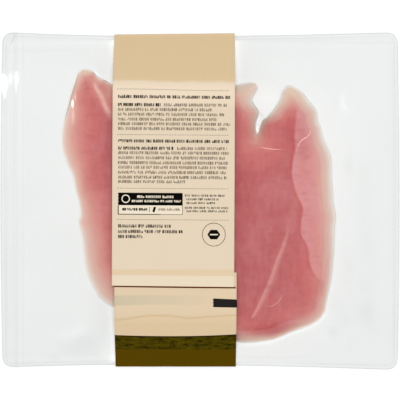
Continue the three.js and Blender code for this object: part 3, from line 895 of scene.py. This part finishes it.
def film_tint_and_shade(x, y, z):
    """The film's tint, a little darker towards the bottom, with painted shade where folds and slack darken
    it, most of all right of the meat and on the lower left.
    """
    patches = np.zeros(len(x))
    for at_x, at_y, reach_x, reach_y, much in FOLD_SHADING_PATCHES:
        off = (np.abs(x - at_x) / reach_x) ** 2.6 + (np.abs(y - at_y) / reach_y) ** 2.6
        patches += much * np.exp(-off)
    patches *= 1 + 0.35 * waves(x, y, 14, 31)
    for line, rise, width in FILM_FOLDS:
        near, away, along = near_line(line, np.column_stack([x, y]), 3 * width)
        # painted shade beside each fold
        shade = bell(away - 0.5 * width, width / 1.6) * np.sin(math.pi * along) ** 0.7
        patches[near] += 0.1 * abs(rise) * shade
    level = 0.165 + 0.035 * smoothstep(60, -40, y) + 0.03 * waves(x, y, 50, 33)
    return level + patches


def painted_light_places(x, y, z):
    """Painted light on the film: a little beside the meat, more beside the band where it takes away the
    band's shade, and most along the meat's bottom edge where it lightens the meat's shaded rim."""
    from_edge = gap_to(outline, x, y, closed=True)
    from_band = np.maximum(np.abs(x - BAND_MIDDLE) - BAND_WIDTH / 2, 0)
    beside = 0.008 * np.exp(-from_edge / 4) + 0.015 * bell(from_edge, 0.9)
    # painted light beside the band, in place of its shade on the film
    beside += 0.2 * np.exp(-from_band / 2.3) * (np.abs(y) < 93)
    # painted light along the meat's bottom edge, which lies in shade
    bottom_edge = 0.1 * bell(from_edge, 1.1) * smoothstep(-58, -68, y) * (x > 20)
    return beside * ~inside(outline, np.column_stack([x, y])) + bottom_edge


vertex_values(pouch, "painted_brightening", painted_light_places)
vertex_values(pouch, "rim", to_rim)
vertex_values(pouch, "tint_and_shade", film_tint_and_shade)
for kind, creases in (("white", CREASE_HIGHLIGHTS), ("grey", CREASE_SHADE_LINES)):
    for i, value in enumerate(("side", "strength")):
        vertex_values(pouch, kind + "_" + value, lambda *place: crease_values(creases, *place)[i])
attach(pouch, "root")
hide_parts("film_pack")

# --- Card band -------------------------------------------------------------------------------------------
# A strip of coated card wrapped once round the pack, creased over the meat, folded round the pack's edges and
# glued to itself on the upper side. Its glued-under end drifts a little to the right. The card is printed
# tan on its upper slope and olive from its lower slope round to its underside.

CARD = 0.34
BAND_UNDERSIDE_MIDDLE = 0.2  # height of the card's middle line where it lies under the pack
BAND_TOP, BAND_CROWN = 18.9, 0.5
UPPER_CREASE, LOWER_CREASE, CREASE_REACH = 66.9, -65.8, 4
UPPER_FOLD, LOWER_FOLD, FOLD_RADIUS = 95.3, -94.4, 0.775
FLAP_END, TAIL_END = -48.3, -40.4
LAYER_STEP = 0.75  # from one layer's middle line to the other's where the card is glued
EDGE_ROUNDING = 0.12  # of the card's cut edges


def band_top(y):
    return BAND_TOP - BAND_CROWN * (y / UPPER_CREASE) ** 2


def straight(start, end, step):
    count = max(2, int(math.dist(start, end) / step))
    return [tuple(p) for p in np.linspace(start, end, count, endpoint=False)]


def bend(start, control, end, count=20):
    t = (np.arange(count) / count)[:, None]
    curve = (1 - t) ** 2 * np.array(start) + 2 * t * (1 - t) * np.array(control) + t**2 * np.array(end)
    return [tuple(p) for p in curve]


def half_turn(centre, first, last, count=12):
    turns = np.radians(np.linspace(first, last, count, endpoint=False))
    return [(centre[0] + FOLD_RADIUS * math.cos(a), centre[1] + FOLD_RADIUS * math.sin(a)) for a in turns]


def band_line():
    """The card's middle line in Y and Z, from its glued-over end round the pack to its glued-under end."""
    ground = BAND_UNDERSIDE_MIDDLE
    fold_top = ground + 2 * FOLD_RADIUS
    flat_end, low_flat_end = UPPER_CREASE - CREASE_REACH, LOWER_CREASE + CREASE_REACH
    upper_corner = np.array((UPPER_CREASE, band_top(UPPER_CREASE)))
    lower_corner = np.array((LOWER_CREASE, band_top(LOWER_CREASE) - LAYER_STEP))
    upper_fall = (np.array((UPPER_FOLD, fold_top)) - upper_corner) / (UPPER_FOLD - UPPER_CREASE)
    lower_fall = (np.array((LOWER_FOLD, fold_top)) - lower_corner) / (LOWER_CREASE - LOWER_FOLD)
    past_upper = upper_corner + upper_fall * CREASE_REACH
    past_lower = lower_corner + lower_fall * CREASE_REACH
    line = [(FLAP_END + d, band_top(FLAP_END)) for d in (0, 0.12, 0.3, 0.6)]
    line += [(y, band_top(y)) for y in np.arange(FLAP_END + 0.9, flat_end, 0.9)]
    line += bend((flat_end, band_top(flat_end)), upper_corner, past_upper)
    line += straight(past_upper, (UPPER_FOLD, fold_top), 0.9)
    line += half_turn((UPPER_FOLD, ground + FOLD_RADIUS), 90, -90)
    line += straight((UPPER_FOLD, ground), (LOWER_FOLD, ground), 1.5)
    line += half_turn((LOWER_FOLD, ground + FOLD_RADIUS), 270, 90)
    line += straight((LOWER_FOLD, fold_top), past_lower, 0.9)
    line += bend(past_lower, lower_corner, (low_flat_end, band_top(low_flat_end) - LAYER_STEP))
    tail = (*np.arange(low_flat_end, TAIL_END - 0.2, 0.9), TAIL_END)
    line += [(y, band_top(y) - LAYER_STEP) for y in tail]
    return np.array(line)


centre_line = band_line()
ahead = np.gradient(centre_line, axis=0)
ahead /= np.linalg.norm(ahead, axis=1)[:, None]
outward = np.column_stack([-ahead[:, 1], ahead[:, 0]])
run = np.concatenate([[0], np.cumsum(np.linalg.norm(np.diff(centre_line, axis=0), axis=1))])
first_fold, last_fold = np.argmax(centre_line[:, 0]), np.argmin(centre_line[:, 0])
BAND_LENGTH, FIRST_FOLD, LAST_FOLD = run[-1], run[first_fold], run[last_fold]


def upper_along(y):
    """How far along the card its upper layer is at this Y."""
    return np.interp(y, centre_line[: first_fold + 1, 0], run[: first_fold + 1])


def lower_along(y):
    """How far along the card its lower layer and its lower slope are at this Y."""
    return np.interp(y, centre_line[last_fold:, 0], run[last_fold:])


def band_drift(along):
    """How far the card has run to the right of its place; it was not wrapped quite square."""
    return np.interp(along, [0, FIRST_FOLD, LAST_FOLD, BAND_LENGTH], [-0.6, 0.05, 0.7, 0.8])


def on_band(across, along, lift):
    """The place in space of a point of the card: across it from its middle, along it from its glued-over end,
    and above its middle layer. The creases wander a little, and the glued-over end is cut askew."""
    across, along, lift = (np.asarray(v, float) for v in (across, along, lift))
    wander = np.interp(across, [-35, -32, -15, -3, 8, 22, 35], [1.4, 1.4, -1.1, -1, 0.7, -0.6, -1.2])
    bent = along - wander * bell(along - lower_along(LOWER_CREASE), 6)
    bent -= 0.5 * np.sin(across / 16) * bell(along - upper_along(UPPER_CREASE), 6)
    y, z = (np.interp(bent, run, centre_line[:, i]) for i in (0, 1))
    off_y, off_z = (np.interp(bent, run, outward[:, i]) for i in (0, 1))
    askew = -0.4 * (across / BAND_WIDTH * 2) * smoothstep(16, 0, along)
    skewed_fold = 0.35 * (across / BAND_WIDTH * 2) * bell(along - FIRST_FOLD, 9)
    loose = smoothstep(4, 30, along) * smoothstep(FIRST_FOLD - 8, FIRST_FOLD - 40, along)
    sway = 0.1 * waves(across, along, 44, 12) * loose
    x = BAND_MIDDLE + band_drift(along) + across
    return np.stack([x, y + off_y * lift + askew + skewed_fold, z + off_z * lift + sway], -1)


half_width = BAND_WIDTH / 2
columns = np.linspace(EDGE_ROUNDING - half_width, half_width - EDGE_ROUNDING, 43)
columns = np.concatenate([[-half_width], columns, [half_width]])
half = np.full(len(columns), CARD / 2)
half[[0, -1]] = CARD / 2 - 0.1
ring_across, ring_lift = np.concatenate([columns, columns[::-1]]), np.concatenate([-half, half[::-1]])
size, pairs = len(ring_across), len(columns)
across_all, lift_all = np.tile(ring_across, len(run)), np.tile(ring_lift, len(run))
along_all = np.repeat(run, size)
faces = [
    (a * size + i, (a + 1) * size + i, (a + 1) * size + (i + 1) % size, a * size + (i + 1) % size)
    for a in range(len(run) - 1)
    for i in range(size)
]
for first, turned in ((0, False), ((len(run) - 1) * size, True)):
    for i in range(pairs - 1):
        face = (first + i, first + i + 1, first + size - 2 - i, first + size - 1 - i)
        faces.append(face[::-1] if turned else face)

card = material("coated_card", Roughness=0.5, Specular_IOR_Level=0.35)
band = mesh_object("folded_card_band", on_band(across_all, along_all, lift_all), faces, card)


def sheet_places(piece, across, along):
    """Stores where each point of the piece is on the flat card, in millimetres."""
    values = np.column_stack([across, along, np.zeros(len(across))]).astype(np.float32)
    piece.data.attributes.new("sheet", "FLOAT_VECTOR", "POINT").data.foreach_set("vector", values.ravel())


sheet_places(band, across_all, along_all)
sheet = new_node(card, "ShaderNodeAttribute", attribute_name="sheet").outputs["Vector"]
parted = new_node(card, "ShaderNodeSeparateXYZ", {"Vector": sheet}).outputs
across, along = parted[0], parted[1]
fibres, clouds = noise(card, 0.9, 5, sheet, 0.6), noise(card, 0.045, 3, sheet)
paper = mixed(card, clouds, (*srgb(228, 211, 184, LIGHT), 1), (*srgb(236, 219, 194, LIGHT), 1))
upper_crease, lower_crease = upper_along(UPPER_CREASE), lower_along(LOWER_CREASE)
near_crease = between(card, along, upper_crease - 12, upper_crease + 1, 4)
tan_edge = math_node(card, "MULTIPLY_ADD", noise(card, 0.08, 2, sheet), 3.0, along)
strip_fade = {"Value": across, "From Min": -36.0, "From Max": 24.0, "To Min": 0.9, "To Max": 0.0}
strip_fade = new_node(card, "ShaderNodeMapRange", strip_fade).outputs[0]
strip = between(card, along, lower_along(-58.8), lower_along(-53.4), 0.35)
wavy = math_node(card, "ADD", noise(card, 0.05, 2, sheet), along)
# painted shade along the wavy lower crease, where the card bends
card_crease_shade = between(card, wavy, lower_crease - 0.1, lower_crease + 1.1, 0.5)
card_tints = [  # how much of each, and what it looks like; the later ones lie over the others
    (times(card, near_crease, 0.6), (248, 228, 204)),
    (between(card, tan_edge, upper_crease + 2.4, FIRST_FOLD + 20, 1.2), (229, 202, 160)),
    (between(card, along, upper_along(-42), upper_along(-38.6), 0.4), (231, 207, 173)),
    (between(card, along, -1, upper_along(-42.3), 0.3), (238, 222, 196)),
    (between(card, along, LAST_FOLD, BAND_LENGTH, 1.5), (229, 207, 175)),
    (times(card, between(card, along, LAST_FOLD, lower_crease, 1.5), 0.6), (237, 209, 168)),
    (times(card, strip, strip_fade), (206, 194, 167)),
    (times(card, card_crease_shade, 0.45), (206, 176, 132)),
    # the flap's cut end, dark brown: partly the card's own cut edge, partly painted shade along it
    (between(card, along, -1, 0.1, 0.12), (150, 104, 58)),
    (times(card, fibres, 0.1), (196, 168, 128)),
]
colour = paper
for share, seen in card_tints:
    colour = tinted(card, colour, share, srgb(*seen, LIGHT))
OLIVE_LENGTH = 152  # of the olive print on the underside
grassy = noise(card, 0.32, 5, stretched(card, (0.6, 1.6, 1), place=sheet), 0.65)
grass = [(0.36, srgb(36, 30, 2, LIGHT)), (0.5, srgb(74, 63, 3, LIGHT)), (0.66, srgb(88, 74, 6, LIGHT))]
grass = colour_ramp(card, grassy, grass)
grassy_edge = math_node(card, "MULTIPLY_ADD", noise(card, 0.3, 3, sheet), 2.0, along)
grassy_part = between(card, grassy_edge, lower_along(-84), BAND_LENGTH, 0.6)
olive = mixed(card, grassy_part, (*srgb(90, 68, 2, LIGHT), 1), grass)
bowed = math_node(card, "MULTIPLY_ADD", times(card, across, across), -0.00085, along)
olive_edge = math_node(card, "MULTIPLY_ADD", across, -0.006, bowed)
olive_mask = between(card, olive_edge, LAST_FOLD - OLIVE_LENGTH, lower_along(-76.9), 0.14)
olive_rim = times(card, between(card, olive_edge, lower_along(-77.6), lower_along(-76.8), 0.2), 0.8)
olive = tinted(card, olive, olive_rim, srgb(22, 18, 4, LIGHT))
colour = mixed(card, olive_mask, colour, olive)
card_shader = card.node_tree.nodes["Principled BSDF"]
card.node_tree.links.new(colour, card_shader.inputs["Base Color"])
gloss = math_node(card, "MULTIPLY_ADD", olive_mask, -0.3, 0.32)
card.node_tree.links.new(gloss, card_shader.inputs["Specular IOR Level"])
bump = new_node(card, "ShaderNodeBump", {"Height": fibres, "Distance": 0.00005, "Strength": 0.3})
card.node_tree.links.new(bump.outputs[0], card_shader.inputs["Normal"])

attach(band, "root")
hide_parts("card_band")

# --- Printed fields and lines ----------------------------------------------------------------------------
# Ink on the card: a black guide mark at the edge of the glued-under layer, a black panel with a cream field
# below it, a ring with a plain six-sided badge in it, and the thin frame lines round them.

INK_LOW, INK_HIGH = CARD / 2 - 0.04, CARD / 2 + 0.02


def ink(name, seen, shine=0.08, roughness=0.6):
    """A printing ink that looks like these screen values."""
    colour = (*srgb(*seen, LIGHT), 1)
    return material(name, Roughness=roughness, Base_Color=colour, Specular_IOR_Level=shine)


black = ink("black_ink", (10, 9, 8), 0.05, 0.5)
charcoal = ink("charcoal_ink", (36, 34, 32), 0.05, 0.5)
brown = ink("brown_ink", (72, 54, 38))
tan_ink = ink("tan_ink", (110, 84, 58))
cream = ink("cream_ink", (240, 228, 205), roughness=0.5)
# dark brown ink for the painted shadow under the glued-over flap's edge
flap_shadow_ink = ink("flap_shadow_line", (98, 50, 12), roughness=0.5)


def swept(line, section, closed=False):
    """Points and faces of a narrow strip along a flat line. The section gives how far to the side and how
    high each of its corners is."""
    line = np.asarray(line, float)
    if closed:
        ahead = np.roll(line, -1, 0) - np.roll(line, 1, 0)
    else:
        ahead = np.gradient(line, axis=0)
    ahead /= np.linalg.norm(ahead, axis=1)[:, None]
    side = np.column_stack([-ahead[:, 1], ahead[:, 0]])
    count, size = len(line), len(section)
    points = np.empty((count, size, 3))
    for i, (across, lift) in enumerate(section):
        points[:, i, :2] = line + side * across
        points[:, i, 2] = lift
    faces = []
    for a in range(count if closed else count - 1):
        here, there = a * size, (a + 1) % count * size
        for i in range(size):
            j = (i + 1) % size
            faces.append((here + i, here + j, there + j, there + i))
    if not closed:
        faces += [tuple(range(size))[::-1], tuple((count - 1) * size + i for i in range(size))]
    return points.reshape(-1, 3), faces


def printed(name, shape, finish, lower=False):
    """Bends a flat shape onto the card and gives it this ink. It comes with its X and Y on the pack."""
    points, faces = shape
    x, y, lift = np.asarray(points).T
    along = lower_along(y) if lower else upper_along(y)
    across = x - BAND_MIDDLE - band_drift(along)
    made = mesh_object(name, on_band(across, along, lift), faces, finish)
    made.data.shade_flat()
    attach(made, "root")
    return made


def field(corners, lift=0.0, spacing=1.0):
    """A thin flat area inside these corners."""
    border = np.asarray(corners, float)
    share = np.linspace(0, 1, 12, endpoint=False)[None, :, None]
    border = (border[:, None] + (np.roll(border, -1, 0) - border)[:, None] * share).reshape(-1, 2)
    flat, triangles, _ = lattice(border, spacing)
    points, faces = solid_under(flat, triangles, np.full(len(flat), INK_HIGH + lift), INK_LOW)
    return points, faces


def line(points, width, lift=0.0, closed=False):
    """A thin line of ink through these points."""
    low, high = INK_LOW, INK_HIGH + lift
    section = [(width / 2, low), (-width / 2, low), (-width / 2, high), (width / 2, high)]
    return swept(points if closed else dense(points, 1.0), section, closed)


SLANT = -0.007  # the print falls a little to the right
PANEL_LEFT, PANEL_RIGHT, PANEL_TOP, PANEL_SPLIT, PANEL_BOTTOM = -46.5, -9.8, 4.8, -2.3, -7.4


def level(x, y):
    """A place on the print, let down to the right with it."""
    return (x, y + SLANT * (x - PANEL_LEFT))


def oblong(left, right, top, bottom):
    return [level(left, bottom), level(right, bottom), level(right, top), level(left, top)]


printed("black_panel", field(oblong(PANEL_LEFT, PANEL_RIGHT, PANEL_TOP, PANEL_SPLIT)), black)
printed("cream_field", field(oblong(PANEL_LEFT + 0.5, PANEL_RIGHT - 0.2, PANEL_SPLIT, PANEL_BOTTOM)), cream)
frame_lines = [
    line([level(PANEL_LEFT + 0.25, PANEL_SPLIT), level(PANEL_LEFT + 0.25, PANEL_BOTTOM)], 0.5, 0.005),
    line([level(PANEL_LEFT, PANEL_BOTTOM), level(PANEL_LEFT + 24, PANEL_BOTTOM)], 0.4, 0.005),
    line([level(-28.6, -3.3), level(-28.6, -6.1)], 0.3, 0.005),
    field([level(-27, -5.9), level(-25.7, -6.3), level(-24.8, -3.2), level(-26.1, -3.1)], 0.005, 0.6),
]
printed("panel_frame", joined(frame_lines), black)
thin_lines = [
    line([level(PANEL_LEFT + 24, PANEL_BOTTOM), level(PANEL_RIGHT, PANEL_BOTTOM)], 0.25, 0.005),
    line([level(PANEL_RIGHT - 0.1, PANEL_SPLIT), level(PANEL_RIGHT - 0.1, PANEL_BOTTOM)], 0.25, 0.005),
]
RING_X, RING_Y, RING_RADIUS = 7.8, -18.95, 6.5


def round_points(x, y, radius_x, radius_y, count):
    turns = np.linspace(0, 2 * math.pi, count, endpoint=False)
    return np.column_stack([x + radius_x * np.cos(turns), y + radius_y * np.sin(turns)])


printed("panel_thin_lines", joined(thin_lines), brown)
printed("ring", line(round_points(RING_X, RING_Y, RING_RADIUS, RING_RADIUS, 72), 0.32, closed=True), brown)
printed("badge", field(round_points(RING_X, RING_Y, 3.7, 3.1, 6), spacing=0.7), black)
bar = [(RING_X + a, RING_Y + b) for a, b in ((-2.3, -0.35), (2.3, -0.35), (2.3, 0.35), (-2.3, 0.35))]
printed("badge_bar", field(bar, 0.006, 0.5), cream)
printed("panel_ring", line(round_points(-42, 1.3, 2.1, 2.1, 36), 0.6, 0.006, closed=True), cream)
guide = [(7.2, -60.3), (21.2, -60.9), (21.2, -55.8), (7.2, -55.1)]
printed("guide_mark", field(guide), charcoal, lower=True)
# A thin dark brown line of painted shadow under the glued-over flap's edge, on the lower layer.
flap_shadow_course = [(-49, -48.2), (-20, -48.6), (0, -48.85), (20.2, -49)]
printed("flap_shadow_line", line(flap_shadow_course, 0.95), flap_shadow_ink, lower=True)

# --- Printed text ----------------------------------------------------------------------------------------
# Rows of small ink blocks in place of the words, and dotted rules between the paragraphs. A small Geometry
# Nodes group sets a block of ink at each place; the whole is then bent onto the card.

TEXT_LEFT, TEXT_RIGHT = -46.4, 17


def block_printer():
    """Sets a block on each point, as large as the point says and a little uneven."""
    tree = bpy.data.node_groups.new("ink_blocks", "GeometryNodeTree")
    sockets = tree.interface
    sockets.new_socket("Places", in_out="INPUT", socket_type="NodeSocketGeometry")
    sockets.new_socket("Ink", in_out="INPUT", socket_type="NodeSocketMaterial")
    sockets.new_socket("Unevenness", in_out="INPUT", socket_type="NodeSocketFloat")
    sockets.new_socket("Seed", in_out="INPUT", socket_type="NodeSocketInt")
    sockets.new_socket("Blocks", in_out="OUTPUT", socket_type="NodeSocketGeometry")

    def add(kind, **settings):
        node = tree.nodes.new(kind)
        for key, value in settings.items():
            setattr(node, key, value)
        return node

    given, result = add("NodeGroupInput"), add("NodeGroupOutput")
    cube = add("GeometryNodeMeshCube")
    extent = add("GeometryNodeInputNamedAttribute", data_type="FLOAT_VECTOR")
    extent.inputs["Name"].default_value = "extent"
    vary = add("FunctionNodeRandomValue", data_type="FLOAT")
    scale = add("ShaderNodeVectorMath", operation="SCALE")
    points, real = add("GeometryNodeInstanceOnPoints"), add("GeometryNodeRealizeInstances")
    finish = add("GeometryNodeSetMaterial")
    spread = add("ShaderNodeMath", operation="SUBTRACT")
    spread.inputs[0].default_value = 1.0
    link = tree.links.new
    link(given.outputs["Unevenness"], spread.inputs[1])
    link(spread.outputs[0], [s for s in vary.inputs if s.name == "Min" and s.type == "VALUE"][0])
    link(given.outputs["Seed"], vary.inputs["Seed"])
    link(extent.outputs[0], scale.inputs[0])
    link([s for s in vary.outputs if s.type == "VALUE"][0], scale.inputs["Scale"])
    link(given.outputs["Places"], points.inputs["Points"])
    link(cube.outputs["Mesh"], points.inputs["Instance"])
    link(scale.outputs[0], points.inputs["Scale"])
    link(points.outputs[0], real.inputs[0])
    link(real.outputs[0], finish.inputs["Geometry"])
    link(given.outputs["Ink"], finish.inputs["Material"])
    link(finish.outputs[0], result.inputs[0])
    return tree


block_tree = block_printer()


def print_blocks(name, blocks, finish, lift, seed):
    """Prints blocks, each given by the X and Y of its middle and by its width and height, as one piece."""
    places = np.array([(x, y, 0) for x, y, _, _ in blocks])
    mesh = bpy.data.meshes.new(name + "_places")
    mesh.from_pydata(places.tolist(), [], [])
    extents = np.array([(w, h, 1) for _, _, w, h in blocks], np.float32)
    mesh.attributes.new("extent", "FLOAT_VECTOR", "POINT").data.foreach_set("vector", extents.ravel())
    holder = bpy.data.objects.new(name + "_places", mesh)
    scene.collection.objects.link(holder)
    modifier = holder.modifiers.new("blocks", "NODES")
    modifier.node_group = block_tree
    for socket in block_tree.interface.items_tree:
        if socket.in_out == "INPUT" and socket.name != "Places":
            modifier[socket.identifier] = {"Ink": finish, "Unevenness": 0.1, "Seed": seed}[socket.name]
    bpy.context.view_layer.update()
    finished = holder.evaluated_get(bpy.context.evaluated_depsgraph_get())
    blocks_mesh = bpy.data.meshes.new_from_object(finished)
    bpy.data.objects.remove(holder)
    points = np.empty(len(blocks_mesh.vertices) * 3, np.float32)
    blocks_mesh.vertices.foreach_get("co", points)
    points = points.reshape(-1, 3).astype(float)
    points[:, 2] = np.where(points[:, 2] > 0, INK_HIGH + lift, INK_LOW)
    faces = [tuple(p.vertices) for p in blocks_mesh.polygons]
    return printed(name, (points, faces), finish)


def words(left, right, y, height, pitch, draw, broad):
    """Blocks for a row of words: narrow strokes close together, and a gap after each word."""
    made, x = [], left
    while x < right - pitch:
        for i in range(2 * draw.randint(2, 9)):
            if x > right - pitch / 2:
                break
            tall = height * draw.choice([1, 1, 1, 0.9, 0.6])
            foot = y - height / 2 + draw.choice([0, 0, height - tall])
            middle = level(x + pitch / 2, foot + tall / 2)
            made.append((*middle, pitch * broad * draw.uniform(0.7, 1.4), tall))
            x += pitch * (draw.uniform(0.75, 0.95), draw.uniform(1.05, 1.3))[i % 2]
        x += pitch * 1.2
    return made


draw = random.Random(7)
BOLD_ROWS = [(59.1, TEXT_LEFT, 17.2), (34.1, TEXT_LEFT, 16.4), (54.6, TEXT_LEFT, -22), (30, TEXT_LEFT, -15.2)]
PLAIN_ROWS = [
    (54.6, -20.6, 15.4), (51.9, TEXT_LEFT, 6.4), (49.2, TEXT_LEFT, 13.8), (46.4, TEXT_LEFT, 9),
    (43.8, TEXT_LEFT, 17.2), (41.1, TEXT_LEFT, 15.2), (30, -13, 15.5), (27.4, TEXT_LEFT, 16.6),
    (24.6, TEXT_LEFT, 15), (21.8, TEXT_LEFT, 16), (19.2, TEXT_LEFT, 16), (16.4, TEXT_LEFT, 14.4),
    (13.6, TEXT_LEFT, 15), (11.1, TEXT_LEFT, -8.1),
]
SMALL_ROWS = [(3.4, -8.6, 14.2), (1.3, -7.8, 10.8), (-0.8, -7.8, 8.6), (-3.5, -8.6, 17), (-5.4, -7.8, 15.4)]
LOWER_ROWS = [(-14, TEXT_LEFT, -16.6), (-17.1, TEXT_LEFT, -9.9), (-20, TEXT_LEFT, -32.4)]


def paragraph(rows, height, pitch, broad):
    """The blocks of these rows, each given by its Y and its ends."""
    return [block for y, left, right in rows for block in words(left, right, y, height, pitch, draw, broad)]


bold_blocks = paragraph(BOLD_ROWS, 1.85, 0.58, 0.72) + words(-44, -29.8, -4.6, 1.6, 0.62, draw, 0.78)
plain_blocks = paragraph(PLAIN_ROWS, 1.8, 0.57, 0.5)
lower_blocks = paragraph(LOWER_ROWS, 1.9, 0.6, 0.64) + paragraph(SMALL_ROWS, 1.25, 0.5, 0.56)
thin_blocks = words(-23.6, -11.2, -4.6, 1.4, 0.5, draw, 0.6)
white_blocks = words(-35.6, -14, 2.6, 1.5, 0.54, draw, 0.68)
white_blocks += words(-38.6, -10.8, 0.1, 1.35, 0.52, draw, 0.72)
dots_x = np.arange(TEXT_LEFT, TEXT_RIGHT, 1.41)
dots = [(*level(x, y), 0.5, 0.45) for y in (63.1, 37.6, 7.3, -10.4) for x in dots_x]

dark_brown = ink("dark_brown_ink", (40, 29, 20))
print_blocks("bold_words", bold_blocks, dark_brown, 0.006, 1)
print_blocks("plain_words", plain_blocks, brown, 0, 2)
print_blocks("lower_words", lower_blocks, black, 0, 3)
print_blocks("panel_thin_words", thin_blocks, tan_ink, 0.006, 4)
print_blocks("panel_white_words", white_blocks, cream, 0.006, 5)
print_blocks("dotted_rules", dots, brown, 0, 6)
